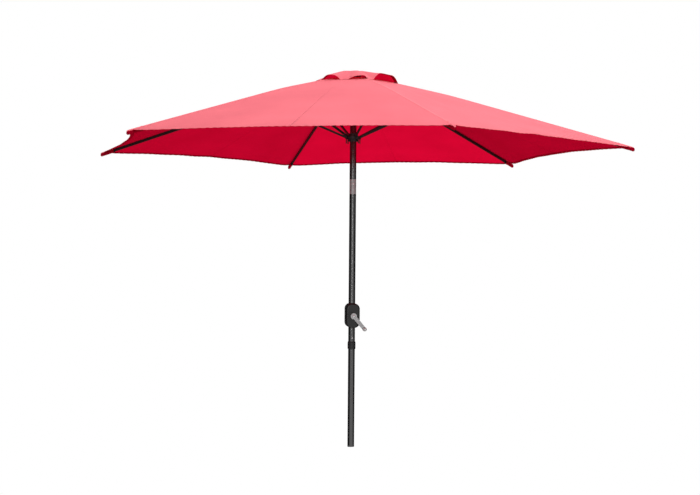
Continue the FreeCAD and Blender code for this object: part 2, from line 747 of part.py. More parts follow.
def tilt_upper():
    """The upper knuckle: a barrel with two ears, open at the back so that it can lean that way."""
    bottom = s.tilt_axis + 0.1
    spigot = cylinder("high_spigot", plug_radius, s.spigot_length, "Z", 0, 0, s.tilt_high - 1.0)
    barrel = cylinder("high_barrel", s.pole_radius, s.tilt_high - s.part_gap - bottom, "Z", 0, 0, bottom)
    open_back = cut("open_back", barrel, lean_room(bottom))
    ears = []
    thick = s.pole_radius / 2.0
    for side, start in (("right", ear_gap()), ("left", -ear_gap() - thick)):
        ears.append(cylinder(f"ear_{side}", s.ear_radius, thick, "X", start, 0, s.tilt_axis))
    round_wall = cylinder("ear_wall", s.pole_radius - 0.05, 40.0, "Z", 0, 0, s.tilt_axis - 20.0)
    both = common("ears", fuse("ear_discs", *ears), round_wall)
    solid = fuse("high_solid", spigot, open_back, both)
    room = cylinder("tongue_room", s.tongue_radius + 0.3, ear_gap() * 2.0, "X", -ear_gap(), 0, s.tilt_axis)
    way = cylinder("high_way", s.cord_bore, 100.0, "Z", 0, 0, s.tilt_axis - 20.0)
    wide = s.pole_radius * 2.0 + 2.0
    pin = s.tilt_pin_radius + s.run_gap
    pins = cylinder("ear_holes", pin, wide, "X", -s.pole_radius - 1.0, 0, s.tilt_axis)
    head = cylinder("button_hole", s.tilt_button_radius + s.run_gap, 7.4, "Y", 0, -s.pole_radius - 1.0,
                    s.tilt_button_height)
    stem = cylinder("stem_hole", 3.3, 9.0, "Y", 0, -s.pole_radius, s.tilt_button_height)
    return cut("tilt_upper", solid, fuse("high_tools", room, way, pins, head, stem))


def lean_room(bottom):
    """The room behind the upper knuckle that its lean needs."""
    body = new_body("lean_room")
    reach = s.pole_radius + 2.0
    lean = bottom + reach * tangent(s.tilt_angle)
    corners = [(0, bottom - 1.0), (reach, bottom - 1.0), (reach, lean), (0, bottom)]
    pad(body, polygon(draw(body, "YZ_Plane"), corners), s.pole_radius * 2.0 + 4.0, middle=True)
    return body


def tilt_pins():
    start = s.cord_bore + 1.2
    length = s.pole_radius - 0.8 - start
    pins = [cylinder("tilt_pin_right", s.tilt_pin_radius, length, "X", start, 0, s.tilt_axis)]
    pins.append(cylinder("tilt_pin_left", s.tilt_pin_radius, length, "X", -start - length, 0, s.tilt_axis))
    return group("tilt_pins", pins)


def tilt_button():
    face = -(s.pole_radius + s.tilt_button_proud)
    back = -(s.pole_radius - 2.4)
    radius = s.tilt_button_radius
    points = [(face, 0), (face, radius - 1.4), (face + 0.5, radius - 0.5), (face + 1.4, radius)]
    points += [(back, radius), (back, 3.0), (back + 4.0, 3.0), (back + 4.0, 0)]
    return place(turned("tilt_button", "Y", points), 0, 0, s.tilt_button_height)


def tilt_spring():
    start = -(s.pole_radius - 2.4) + 0.5
    return coil("tilt_spring", as_size(3.85), 0.35, as_size(2.4), 2.5, start, s.tilt_button_height)


def tilt_lug():
    """A slanting oval stop, cast on the front of the lower knuckle as a piece of its own."""
    body = new_body("lug_oval")
    drawing = draw(body, "XZ_Plane", 0)
    rounded_box(drawing, 2.9, as_size(0), 9.0, 2.8)
    pad(body, drawing, 40.0)
    turn(body, Vector(0, 1, 0), -30.0)
    place(body, 2.3, 0, s.tilt_axis - 11.5)
    skin = cylinder("lug_skin", s.pole_radius + 1.0, 40.0, "Z", 0, 0, s.tilt_axis - 30.0)
    inside = cylinder("lug_inside", s.pole_radius + 0.02, 44.0, "Z", 0, 0, s.tilt_axis - 32.0)
    return common("tilt_lug", body, cut("lug_ring", skin, inside))


# ---- the upper pole, the runner and the hub --------------------------------

PULLEY_HALF = 4.0


def upper_pole():
    body = tube("upper_pole", s.pole_radius, inner_radius, s.tilt_high, s.hub_high)
    slot = draw(body, "XZ_Plane", 0)
    room = s.pulley_flange + 4.0
    wide = PULLEY_HALF + 0.6
    polygon(slot, box_points(-wide, wide, s.pulley_height - room, s.pulley_height + room))
    pocket(body, slot, s.pole_radius + 4.0)
    hole = s.pulley_pin_radius + s.tight_gap
    across = s.pole_radius * 2.0 + 4.0
    hole_through(body, "YZ_Plane", s.pulley_y, s.pulley_height, hole, 0, across, middle=True)
    return body


def pulley():
    bore = s.pulley_pin_radius + s.run_gap
    half, flange, groove = PULLEY_HALF, s.pulley_flange, s.pulley_radius
    points = [(-half, bore), (-half, flange), (1.0 - half, flange), (-1.5, groove)]
    points += [(1.5, groove), (half - 1.0, flange), (half, flange), (half, bore)]
    return place(turned("pulley", "X", points), 0, s.pulley_y, s.pulley_height)


def pulley_pin():
    """The pulley's pin, ending just inside the pole's outer surface."""
    half = root(s.pole_radius * s.pole_radius - s.pulley_y * s.pulley_y) - 0.6
    radius = s.pulley_pin_radius
    points = [(-half, 0), (-half, radius), (half, radius), (half, 0)]
    return place(turned("pulley_pin", "X", points), 0, s.pulley_y, s.pulley_height)


def runner():
    """The sliding collar: a sleeve with six pairs of lugs that the struts' pins drop into."""
    body = new_body("runner_body")
    middle = s.strut_ring_height
    outline = [(over_pole, s.runner_low), (s.runner_sleeve, s.runner_low), (s.runner_sleeve, middle - 10.0)]
    outline += [(s.runner_ring, middle - 8.0), (s.runner_ring, middle + 5.0)]
    outline.append((s.runner_ring - 3.0, middle + 8.0))
    outline += [(s.runner_sleeve, middle + 8.0), (s.runner_sleeve, s.runner_high - 2.0)]
    outline += [(s.runner_sleeve - 2.0, s.runner_high), (over_pole, s.runner_high)]
    drawing = draw(body, "XZ_Plane")
    polygon(drawing, outline)
    spin(body, drawing, "V_Axis")
    low, high = middle - 12.0, middle + 12.0
    slot = draw(body, "XZ_Plane")
    polygon(slot, box_points(s.strut_ring - 7.4, s.runner_ring + 3.0, low, high))
    slots = pocket(body, slot, s.strut_half_width * 2.0 + 0.6, middle=True)
    seat = s.strut_pin_radius + s.run_gap
    notch = draw(body, "XZ_Plane")
    inner, outer = s.strut_ring - seat, s.strut_ring + seat
    polygon(notch, [(inner, middle), (inner, low), (outer + 4.0, low), (outer, middle)])
    notches = pocket(body, notch, 18.0, middle=True)
    top = hole_through(body, "XZ_Plane", s.strut_ring, middle, seat, 0, 18.0, middle=True)
    repeat_around(body, [slots, notches, top])
    turn(body, Vector(0, 0, 1), s.canopy_turn)
    legs = []
    for k in range(RIBS):
        leg = cylinder(f"runner_leg_{k + 1}", s.leg_radius, 28.0, "Z")
        angle = s.canopy_turn + STEP * (k + 0.5)
        reach = s.runner_ring - 5.0
        legs.append(place(leg, reach * cosine(angle), reach * sine(angle), middle - 34.0))
    whole = fuse("runner_whole", body, *legs)
    tall = s.runner_high - s.runner_low + 20.0
    key = block("button_way", as_size(-11.0), as_size(11.0), -(s.pole_radius + 3.6), as_size(0),
                s.runner_low - 10.0, s.runner_low - 10.0 + tall)
    tie = cylinder("tie_hole", s.cord_radius + s.cord_gap, tall, "Z", 0, s.cord_fall_y, s.runner_low - 10.0)
    return cut("runner", whole, fuse("runner_tools", key, tie))


def top_hub():
    body = new_body("top_hub")
    low, high = s.hub_low, s.hub_high
    bore = s.pole_radius + s.press_gap
    outline = [(bore, low), (s.hub_radius - 2.0, low), (s.hub_radius, low + 2.0), (s.hub_radius, high - 4.0)]
    outline += [(s.hub_radius - 4.0, high), (bore, high)]
    drawing = draw(body, "XZ_Plane")
    polygon(drawing, outline)
    spin(body, drawing, "V_Axis")
    slot = draw(body, "XZ_Plane")
    polygon(slot, box_points(s.rib_ring - 8.5, s.hub_radius + 4.0, low - 2.0, s.rib_ring_height + 9.0))
    slots = pocket(body, slot, tongue_width() + 0.6, middle=True)
    hole = s.pin_radius + s.tight_gap
    holes = hole_through(body, "XZ_Plane", s.rib_ring, s.rib_ring_height, hole, 0, 17.0, middle=True)
    repeat_around(body, [slots, holes])
    return turn(body, Vector(0, 0, 1), s.canopy_turn)


def hub_pins():
    pins = []
    for k in range(RIBS):
        body = new_body(f"hub_pin_{k + 1}")
        pin = circle(draw(body, "XZ_Plane"), s.rib_ring, s.rib_ring_height, s.pin_radius)
        pad(body, pin, 16.0, middle=True)
        pins.append(turn(body, Vector(0, 0, 1), s.canopy_turn + STEP * k))
    return group("hub_pins", pins)


def hub_cap():
    base = s.hub_high + 0.1
    points = [(0, base - 16.0), (plug_radius - 3.0, base - 16.0)]
    points += [(plug_radius, base - 13.0), (plug_radius, base)]
    points += [(s.hub_radius - 4.0, base), (s.hub_radius - 4.0, base + 0.8), (s.hub_radius - 5.0, base + 1.4)]
    points += [(0, base + 1.4)]
    return turned("hub_cap", "Z", points)


# ---- ribs and struts -------------------------------------------------------

def from_pin(along, up, slope=None):
    """A point in a rib's own plane, from the rib's pin: so far along its slope and up from its middle."""
    slope = slope or s.inner_slope
    x = s.rib_ring + along * cosine(slope) + up * sine(slope)
    z = s.rib_ring_height - along * sine(slope) + up * cosine(slope)
    return x, z


def bend_point(up):
    """A point on the bend's mitre, up from the rib's middle."""
    middle = (s.inner_slope + s.outer_slope) / 2.0
    x, z = from_pin(s.inner_length, as_size(0))
    return x + up * sine(middle), z + up * cosine(middle)


def past_bend(along, up):
    x, z = bend_point(as_size(0))
    slope = s.outer_slope
    return x + along * cosine(slope) + up * sine(slope), z - along * sine(slope) + up * cosine(slope)


def rib(number, angle):
    body = new_body(f"rib_{number}")
    low, high = -s.rib_half_height, s.rib_half_height
    start = s.rib_start
    outline = [from_pin(start, low), bend_point(low), past_bend(s.outer_length, low)]
    outline += [past_bend(s.outer_length, high), bend_point(high), from_pin(start, high)]
    pad(body, polygon(draw(body, "XZ_Plane"), outline), s.rib_half_width * 2.0, middle=True)
    long_low = [from_pin(start, low), bend_point(low), past_bend(s.outer_length, low)]
    spots = [(x.value, z.value) for x, z in long_low]

    def along_bottom(edge):
        if edge.Length < 100:
            return False
        ends = [(v.Point.x, v.Point.z) for v in edge.Vertexes]
        return all(any(math.dist(end, spot) < 0.01 for spot in spots) for end in ends)

    round_edges(body, 2.0, along_bottom)
    floor = low + s.channel_wall
    over = high + 3.0
    inside = [from_pin(start - 2.0, floor), bend_point(floor), past_bend(s.outer_length + 2.0, floor)]
    inside += [past_bend(s.outer_length + 2.0, over), bend_point(over), from_pin(start - 2.0, over)]
    width = (s.rib_half_width - s.channel_wall) * 2.0
    pocket(body, polygon(draw(body, "XZ_Plane"), inside), width, middle=True)
    return turn(body, Vector(0, 0, 1), angle)


def tongue_width():
    return (s.rib_half_width - s.channel_wall) * 2.0 - 0.2


def rib_fittings(number, angle):
    """The rib's hub tongue, strut bracket with its pin, and end cap."""
    pieces = []
    body = new_body(f"tongue_{number}")
    low = -s.rib_half_height + s.channel_wall + 0.1
    bar = [from_pin(as_size(0), low), from_pin(as_size(70.0), low)]
    bar += [from_pin(as_size(70.0), as_size(5.0)), from_pin(as_size(0), as_size(5.0))]
    eye = -low
    pad(body, circle(draw(body, "XZ_Plane"), s.rib_ring, s.rib_ring_height, eye), tongue_width(), middle=True)
    pad(body, polygon(draw(body, "XZ_Plane"), bar), tongue_width(), middle=True)
    hole = s.pin_radius + s.run_gap
    hole_through(body, "XZ_Plane", s.rib_ring, s.rib_ring_height, hole, 0, 20.0, middle=True)
    pieces.append(body)
    pieces.append(bracket(number))
    pieces.append(bracket_pin(number))
    pieces.append(end_cap(number))
    for piece in pieces:
        turn(piece, Vector(0, 0, 1), angle)
    return group(f"rib_fittings_{number}", pieces)


def bracket_width():
    return (s.rib_half_width + s.press_gap + s.bracket_wall) * 2.0


def bracket(number):
    """A folded saddle under the rib, with a cheek on each side of the strut's eye."""
    body = new_body(f"bracket_{number}")
    at = s.strut_along
    top = as_size(3.0)
    under = -s.rib_half_height
    bottom = -s.strut_below - 6.0
    side = [from_pin(at - 17.0, top), from_pin(at - 17.0, under - 1.0), from_pin(at - 7.0, bottom)]
    side += [from_pin(at + 7.0, bottom), from_pin(at + 17.0, under - 1.0), from_pin(at + 17.0, top)]
    pad(body, polygon(draw(body, "XZ_Plane"), side), bracket_width(), middle=True)
    for low, high, width in (
        (under - s.press_gap, top + 5.0, (s.rib_half_width + s.press_gap) * 2.0),
        (bottom - 5.0, under - s.bracket_wall, (s.strut_half_width + 0.25) * 2.0),
    ):
        room = [from_pin(at - 30.0, low), from_pin(at + 30.0, low)]
        room += [from_pin(at + 30.0, high), from_pin(at - 30.0, high)]
        pocket(body, polygon(draw(body, "XZ_Plane"), room), width, middle=True)
    x, z = from_pin(at, -s.strut_below)
    hole_through(body, "XZ_Plane", x, z, s.strut_pin_radius + s.tight_gap, 0, 30.0, middle=True)
    return body


def bracket_pin(number):
    body = new_body(f"bracket_pin_{number}")
    x, z = from_pin(s.strut_along, -s.strut_below)
    pad(body, circle(draw(body, "XZ_Plane"), x, z, s.strut_pin_radius), bracket_width() + 1.7, middle=True)
    return body


def end_cap(number):
    """The cap on the rib's end: a nose outside the rib and a plug inside its channel."""
    body = new_body(f"end_cap_{number}")
    end = s.outer_length
    low, high = -s.rib_half_height - 1.6, s.rib_half_height - 0.6
    nose = [past_bend(end + 0.1, low), past_bend(end + 11.0, low), past_bend(end + 16.0, low + 5.0)]
    nose += [past_bend(end + 16.0, high - 5.0), past_bend(end + 11.0, high), past_bend(end + 0.1, high)]
    pad(body, polygon(draw(body, "XZ_Plane"), nose), s.rib_half_width * 2.0 + 2.4, middle=True)
    floor = -s.rib_half_height + s.channel_wall + 0.05
    plug = [past_bend(end - 24.0, floor), past_bend(end + 2.0, floor)]
    plug += [past_bend(end + 2.0, high), past_bend(end - 24.0, high)]
    width = (s.rib_half_width - s.channel_wall - 0.05) * 2.0
    pad(body, polygon(draw(body, "XZ_Plane"), plug), width, middle=True)
    return body


def strut(number, angle):
    """A channel strut, from its pin in the runner up to its eye in the rib's bracket."""
    body = new_body(f"strut_{number}")
    low_x, low_z = s.strut_ring, s.strut_ring_height
    high_x, high_z = from_pin(s.strut_along, -s.strut_below)
    run_x, run_z = high_x - low_x, high_z - low_z
    span = root(run_x * run_x + run_z * run_z)
    cos_up, sin_up = run_x / span, run_z / span

    def at(along, up):
        return low_x + along * cos_up - up * sin_up, low_z + along * sin_up + up * cos_up

    half = s.strut_half_height
    bar = [at(as_size(0), -half), at(span, -half), at(span, half), at(as_size(0), half)]
    width = s.strut_half_width * 2.0
    pad(body, polygon(draw(body, "XZ_Plane"), bar), width, middle=True)
    for x, z in ((low_x, low_z), (high_x, high_z)):
        pad(body, circle(draw(body, "XZ_Plane"), x, z, half + 0.4), width, middle=True)
    floor, over = -half + s.channel_wall, half + 4.0
    ends = 16.0
    inside = [at(as_size(ends), floor), at(span - ends, floor)]
    inside += [at(span - ends, over), at(as_size(ends), over)]
    pocket(body, polygon(draw(body, "XZ_Plane"), inside), width - s.channel_wall * 2.0, middle=True)
    hole_through(body, "XZ_Plane", high_x, high_z, s.strut_pin_radius + s.run_gap, 0, 20.0, middle=True)
    pad(body, circle(draw(body, "XZ_Plane"), low_x, low_z, s.strut_pin_radius), 17.0, middle=True)
    return turn(body, Vector(0, 0, 1), angle)


# ---- cloth and cord --------------------------------------------------------

def straight_cord(name, low, high, y):
    made = cylinder(name, s.cord_radius, high - low, "Z", 0, y, low)
    made.Label = name
    return made


def lower_cord():
    """The cord's lower run: it leaves the spool's side and leans in to the middle of the tilt joint."""
    low = s.crank_height
    high = s.tilt_axis + s.tongue_radius - 0.5
    side = s.spool_radius + s.cord_radius + s.cord_gap
    made = cylinder("lift_cord_lower", s.cord_radius, root(side * side + (high - low) * (high - low)))
    made.Label = "lift_cord_lower"
    lean = math.degrees(math.atan2(side.value, (high - low).value))
    turn(made, Vector(0, -1, 0), Size(lean, f"atan({side.text} / {(high - low).text})"))
    return place(made, side, s.cord_rise_y, low)


def upper_cord():
    """The cord's upper run: up the middle of the pole and half round the pulley."""
    low, high = s.tilt_axis + s.tongue_radius + 0.5, s.pulley_height
    y, middle, turn_radius = s.cord_rise_y, s.pulley_y, s.cord_turn
    route = doc.addObject("Sketcher::SketchObject", "cord_route")
    route.Placement.Rotation = FreeCAD.Rotation(Vector(0, 1, 0), Vector(0, 0, 1), Vector(1, 0, 0), "XYZ")
    rise = Part.LineSegment(Vector(y.value, low.value, 0), Vector(y.value, high.value, 0))
    ring = Part.Circle(Vector(middle.value, high.value, 0), Vector(0, 0, 1), turn_radius.value)
    route.addGeometry([rise, Part.ArcOfCircle(ring, 0, math.pi)], False)
    route.addConstraint(Sketcher.Constraint("Tangent", 0, 2, 1, 2))
    route.addConstraint(Sketcher.Constraint("Vertical", 0))
    route.addConstraint(Sketcher.Constraint("Horizontal", 1, 3, 1, 1))
    spots = (("DistanceY", 0, 1, low), ("DistanceX", 1, 3, middle), ("DistanceY", 1, 3, high))
    for kind, line, end, size in spots:
        made = route.addConstraint(Sketcher.Constraint(kind, line, end, size.value))
        bind(route, f"Constraints[{made}]", size)
    made = route.addConstraint(Sketcher.Constraint("Radius", 1, turn_radius.value))
    bind(route, f"Constraints[{made}]", turn_radius)
    section = doc.addObject("Part::Circle", "cord_section")
    bind(section, "Radius", s.cord_radius)
    place(section, 0, y, low)
    swept = doc.addObject("Part::Sweep", "lift_cord_upper")
    swept.Sections = [section]
    swept.Spine = (route, ["Edge1", "Edge2"])
    swept.Solid = True
    swept.Label = "lift_cord_upper"
    return swept


def crown():
    slope = vent_slope()
    base = s.vent_top + 1.6
    edge = base - s.crown_radius * slope
    points = [(0, base), (s.crown_radius, edge), (s.crown_radius, edge + s.cloth), (0, base + s.cloth)]
    return turned("vent_crown", "Z", points)


def canopy_line(x):
    """Height of the cloth's underside over a rib, at x from the axis."""
    bend_x, bend_z = bend_point(s.cloth_over_rib)
    slope = s.inner_slope if x.value < bend_x.value else s.outer_slope
    return bend_z - (x - bend_x) * tangent(slope)


def vent_slope():
    return (s.vent_top - canopy_line(s.vent_radius) - s.cloth - s.vent_lift) / s.vent_radius


def vent_line(x):
    return s.vent_top - x * vent_slope()


def cloth_panel(number, angle):
    """The cloth on both sides of one rib's seam, with the vent cap's, read from the sheet.

    The panels stop just short of the seam and of the line midway to the next rib.
    """
    made = doc.addObject("Part::Feature", f"canopy_{number}")
    made.Label = f"canopy_{number}"
    half = math.radians(180.0 / RIBS)
    bend_x = bend_point(s.cloth_over_rib)[0].value
    tip, hollow = s.tip_radius.value, s.hem_hollow.value
    thick = s.cloth.value
    seam_gap = 0.15

    def field(distance, across, line, side):
        """A point that far out along the line midway between two ribs, and that far across it."""
        x = distance * math.cos(half) + across * math.sin(half)
        y = distance * math.sin(half) - across * math.cos(half)
        return Vector(x, y * side, line(as_size(distance / math.cos(half))).value)

    def beside_seam(x, line, side):
        return field(x * math.cos(half), x * math.sin(half) - seam_gap, line, side)

    def slab(edges):
        return Part.Face(Part.Wire(edges)).extrude(Vector(0, 0, thick))

    def flat(line, near, far, side):
        corners = [beside_seam(near, line, side), beside_seam(far, line, side)]
        corners += [field(x * math.cos(half), seam_gap, line, side) for x in (far, near)]
        return slab(Part.makePolygon(corners + corners[:1]).Edges)

    def outer(side):
        out = tip * math.cos(half)
        chord = tip * math.sin(half)
        hem = []
        for across in (chord - seam_gap, chord / 2.0, seam_gap):
            distance = out - hollow * (1.0 - (across / chord) ** 2)
            hem.append(field(distance, across, canopy_line, side))
        start = beside_seam(bend_x, canopy_line, side)
        mid = field(bend_x * math.cos(half), seam_gap, canopy_line, side)
        edges = [Part.LineSegment(start, hem[0]).toShape(), Part.Arc(*hem).toShape()]
        edges += [Part.LineSegment(hem[2], mid).toShape(), Part.LineSegment(mid, start).toShape()]
        return slab(edges)

    panels = []
    for side in (1, -1):
        sewn = flat(canopy_line, s.vent_hole.value, bend_x, side).fuse(outer(side)).removeSplitter()
        panels += sewn.Solids
        panels.append(flat(vent_line, s.rib_ring.value - 2.0, s.vent_radius.value, side))
    made.Shape = Part.makeCompound(panels)
    return turn(made, Vector(0, 0, 1), angle)


# ---- everything ------------------------------------------------------------

def build():
    parts = [lower_pole(), pole_end_plug(), joint_insert(), snap_button(), snap_spring(), joint_collar()]
    parts += [middle_pole(), housing_shell("housing_front", True), housing_shell("housing_rear", False)]
    parts += [housing_screws(), shaft_bushes(), brake_spring(), crank_shaft(), cord_spool()]
    parts += [crank_arm(), crank_screw(), crank_knob(), knob_pin()]
    parts += [tilt_lower(), tilt_upper(), tilt_pins(), tilt_button(), tilt_spring(), tilt_lug()]
    parts += [upper_pole(), pulley(), pulley_pin(), runner(), top_hub(), hub_pins(), hub_cap()]
    parts += [lower_cord(), upper_cord()]
    parts.append(straight_cord("lift_cord_fall", s.runner_low + 12.0, s.pulley_height - 0.3, s.cord_fall_y))
    parts.append(crown())
    for number in range(1, RIBS + 1):
        angle = s.canopy_turn + STEP * (number - 1)
        parts += [rib(number, angle), rib_fittings(number, angle), strut(number, angle)]
        parts.append(cloth_panel(number, angle))
    return parts


parts = build()
doc.recompute()
for item in doc.Objects:
    if "Invalid" in item.State or "Error" in item.State:
        raise RuntimeError(f"{item.Label} did not compute: {item.State}")
for part in parts:
    if part.Shape.isNull() or not part.Shape.isValid():
        raise RuntimeError(f"{part.Label} has no valid shape")
os.makedirs("parts", exist_ok=True)
for part in parts:
    part.Shape.exportStep(f"parts/{part.Label}.step")
print(len(parts), "sub-parts written")
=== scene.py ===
# %% [markdown]
# # A tilting patio umbrella
# The hard parts (pole, crank, tilt joint, runner, ribs and struts) come from the CAD frame and keep
# their shape. What is soft is made here: the canopy, its vent cap, seams, hems and the lift cord.
# Everything stands in the frame's own metres, with the pole's foot at the origin.

# %% Load the frame
import json
import math

import bmesh
import bpy
import numpy as np
from mathutils import Matrix, Vector


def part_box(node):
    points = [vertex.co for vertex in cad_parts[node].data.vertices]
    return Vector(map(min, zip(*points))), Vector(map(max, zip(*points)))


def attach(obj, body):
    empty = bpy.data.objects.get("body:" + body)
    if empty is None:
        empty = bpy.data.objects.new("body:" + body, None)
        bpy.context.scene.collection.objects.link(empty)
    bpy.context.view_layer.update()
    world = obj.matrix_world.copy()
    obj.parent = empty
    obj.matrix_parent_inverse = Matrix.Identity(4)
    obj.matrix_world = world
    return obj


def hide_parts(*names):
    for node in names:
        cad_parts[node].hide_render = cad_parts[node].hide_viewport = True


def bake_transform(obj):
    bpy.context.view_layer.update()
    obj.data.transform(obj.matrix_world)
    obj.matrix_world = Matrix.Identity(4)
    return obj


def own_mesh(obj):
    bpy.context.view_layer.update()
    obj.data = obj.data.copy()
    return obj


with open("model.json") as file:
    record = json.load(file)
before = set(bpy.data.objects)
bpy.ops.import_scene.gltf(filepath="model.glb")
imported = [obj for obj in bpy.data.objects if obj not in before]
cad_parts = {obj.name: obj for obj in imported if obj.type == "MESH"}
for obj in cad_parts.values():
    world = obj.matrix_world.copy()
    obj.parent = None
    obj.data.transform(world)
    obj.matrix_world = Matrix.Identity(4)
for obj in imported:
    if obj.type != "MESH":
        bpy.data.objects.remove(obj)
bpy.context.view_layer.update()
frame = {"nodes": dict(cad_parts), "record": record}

# %% [markdown]
# ## The camera
# The view is from a little below the canopy's edge and almost level, so that both the sunny top and
# the shaded underside show. A long lens of about 59 mm keeps the perspective of that distance.

# %% Make the camera
EYE = Vector((-0.910, -6.475, 1.180))
HEADING = math.radians(-8.0)
YAW, PITCH, ROLL = -0.0020, -0.0079, 0.0080
LENS, SENSOR_WIDTH = 59.355, 36.0

ahead = Vector((math.sin(YAW) * math.cos(PITCH), math.cos(YAW) * math.cos(PITCH), math.sin(PITCH)))
side = Vector((math.cos(YAW), -math.sin(YAW), 0))
above = side.cross(ahead)
level_side = side * math.cos(ROLL) + above * math.sin(ROLL)
level_up = above * math.cos(ROLL) - side * math.sin(ROLL)
facing = Matrix((level_side, level_up, -ahead)).transposed()
camera = bpy.data.objects.new("camera", bpy.data.cameras.new("camera"))
bpy.context.scene.collection.objects.link(camera)
camera.data.lens = LENS
camera.data.sensor_width = SENSOR_WIDTH
camera.rotation_euler = (Matrix.Rotation(HEADING, 3, "Z") @ facing).to_euler()
camera.location = EYE
bpy.context.scene.camera = camera
print("camera at", [round(x, 3) for x in EYE])

# %% [markdown]
# ## Floor and light
# A cut-out look needs a pale floor and a white surround. The surround is white where the camera looks
# at it, and dimmer at the horizon where the glossy pole mirrors it, so that the pole keeps its dark
# edges. Two big soft lamps above and one narrow one in front give the shading and the pole's stripe.

# %% Strengths of the light
HORIZON, ZENITH = 0.10, 0.55
FLOOR_GLOW = 0.27
PANEL_GLOW, DARK_GLOW = 0.85, 0.05
SKY_POWER, BACK_POWER, STRIP_POWER = 235, 95, 60
# The front panel fades out between these two values of the direction's Y.
PANEL_EDGE, PANEL_FULL = -0.42, -0.72

scene = bpy.context.scene
scene.view_settings.view_transform = "Standard"
scene.view_settings.look = "None"
print("lamp powers", SKY_POWER, BACK_POWER, STRIP_POWER)

# %% Three soft lamps


def soft_lamp(name, place, aim, width, height, power):
    data = bpy.data.lights.new(name, "AREA")
    data.shape = "RECTANGLE"
    data.size, data.size_y = width, height
    data.energy = power
    lamp = bpy.data.objects.new(name, data)
    lamp.location = place
    lamp.rotation_euler = (Vector(aim) - Vector(place)).to_track_quat("-Z", "Y").to_euler()
    scene.collection.objects.link(lamp)


soft_lamp("sky_lamp", (1.2, -2.5, 6.0), (0, 0, 1.6), 5.0, 5.0, SKY_POWER)
soft_lamp("back_lamp", (2.5, 4.0, 5.0), (0, 0, 1.6), 4.0, 4.0, BACK_POWER)
soft_lamp("front_strip", (-1.4, -9.0, 1.6), (0, 0, 1.2), 0.5, 3.4, STRIP_POWER)

# %% The surround, and the panel that glossy things mirror


def front_panel(tree, vector):
    """A mask that is 1 within some 45 degrees of -Y and has faded to 0 by about 65 degrees."""
    flat = tree.nodes.new("ShaderNodeVectorMath")
    flat.operation = "MULTIPLY"
    flat.inputs[1].default_value = (1, 1, 0)
    unit = tree.nodes.new("ShaderNodeVectorMath")
    unit.operation = "NORMALIZE"
    split = tree.nodes.new("ShaderNodeSeparateXYZ")
    fade = tree.nodes.new("ShaderNodeMapRange")
    fade.interpolation_type = "SMOOTHSTEP"
    fade.inputs["From Min"].default_value = PANEL_EDGE
    fade.inputs["From Max"].default_value = PANEL_FULL
    tree.links.new(vector, flat.inputs[0])
    tree.links.new(flat.outputs[0], unit.inputs[0])
    tree.links.new(unit.outputs[0], split.inputs[0])
    tree.links.new(split.outputs["Y"], fade.inputs["Value"])
    return fade.outputs["Result"]


def panel_glow(tree, mask):
    glow = tree.nodes.new("ShaderNodeMapRange")
    glow.inputs["To Min"].default_value = DARK_GLOW
    glow.inputs["To Max"].default_value = PANEL_GLOW
    tree.links.new(mask, glow.inputs["Value"])
    return glow.outputs["Result"]


def make_surround():
    world = bpy.data.worlds.new("surround")
    scene.world = world
    world.use_nodes = True
    tree = world.node_tree
    tree.nodes.clear()
    out = tree.nodes.new("ShaderNodeOutputWorld")
    mix, mirrored = tree.nodes.new("ShaderNodeMixShader"), tree.nodes.new("ShaderNodeMixShader")
    seen = tree.nodes.new("ShaderNodeBackground")
    seen.inputs["Color"].default_value = (1, 1, 1, 1)
    light, panel = tree.nodes.new("ShaderNodeBackground"), tree.nodes.new("ShaderNodeBackground")
    path = tree.nodes.new("ShaderNodeLightPath")
    where = tree.nodes.new("ShaderNodeTexCoord")
    split = tree.nodes.new("ShaderNodeSeparateXYZ")
    ramp = tree.nodes.new("ShaderNodeValToRGB")
    ramp.color_ramp.elements[0].position = 0.0
    ramp.color_ramp.elements[0].color = (HORIZON, HORIZON, HORIZON, 1)
    ramp.color_ramp.elements[1].position = 0.7
    ramp.color_ramp.elements[1].color = (ZENITH, ZENITH, ZENITH, 1)
    tree.links.new(where.outputs["Generated"], split.inputs["Vector"])
    tree.links.new(split.outputs["Z"], ramp.inputs["Fac"])
    tree.links.new(ramp.outputs["Color"], light.inputs["Color"])
    mirror = front_panel(tree, where.outputs["Generated"])
    tree.links.new(panel_glow(tree, mirror), panel.inputs["Strength"])
    tree.links.new(path.outputs["Is Glossy Ray"], mirrored.inputs[0])
    tree.links.new(light.outputs[0], mirrored.inputs[1])
    tree.links.new(panel.outputs[0], mirrored.inputs[2])
    tree.links.new(path.outputs["Is Camera Ray"], mix.inputs[0])
    tree.links.new(mirrored.outputs[0], mix.inputs[1])
    tree.links.new(seen.outputs[0], mix.inputs[2])
    tree.links.new(mix.outputs[0], out.inputs["Surface"])


make_surround()
print("surround", scene.world.name)

# %% The floor
FLOOR_HALF, FLOOR_Z = 40.0, -0.004


def plain_material(name):
    material = bpy.data.materials.new(name)
    material.use_nodes = True
    return material, material.node_tree, material.node_tree.nodes["Principled BSDF"]


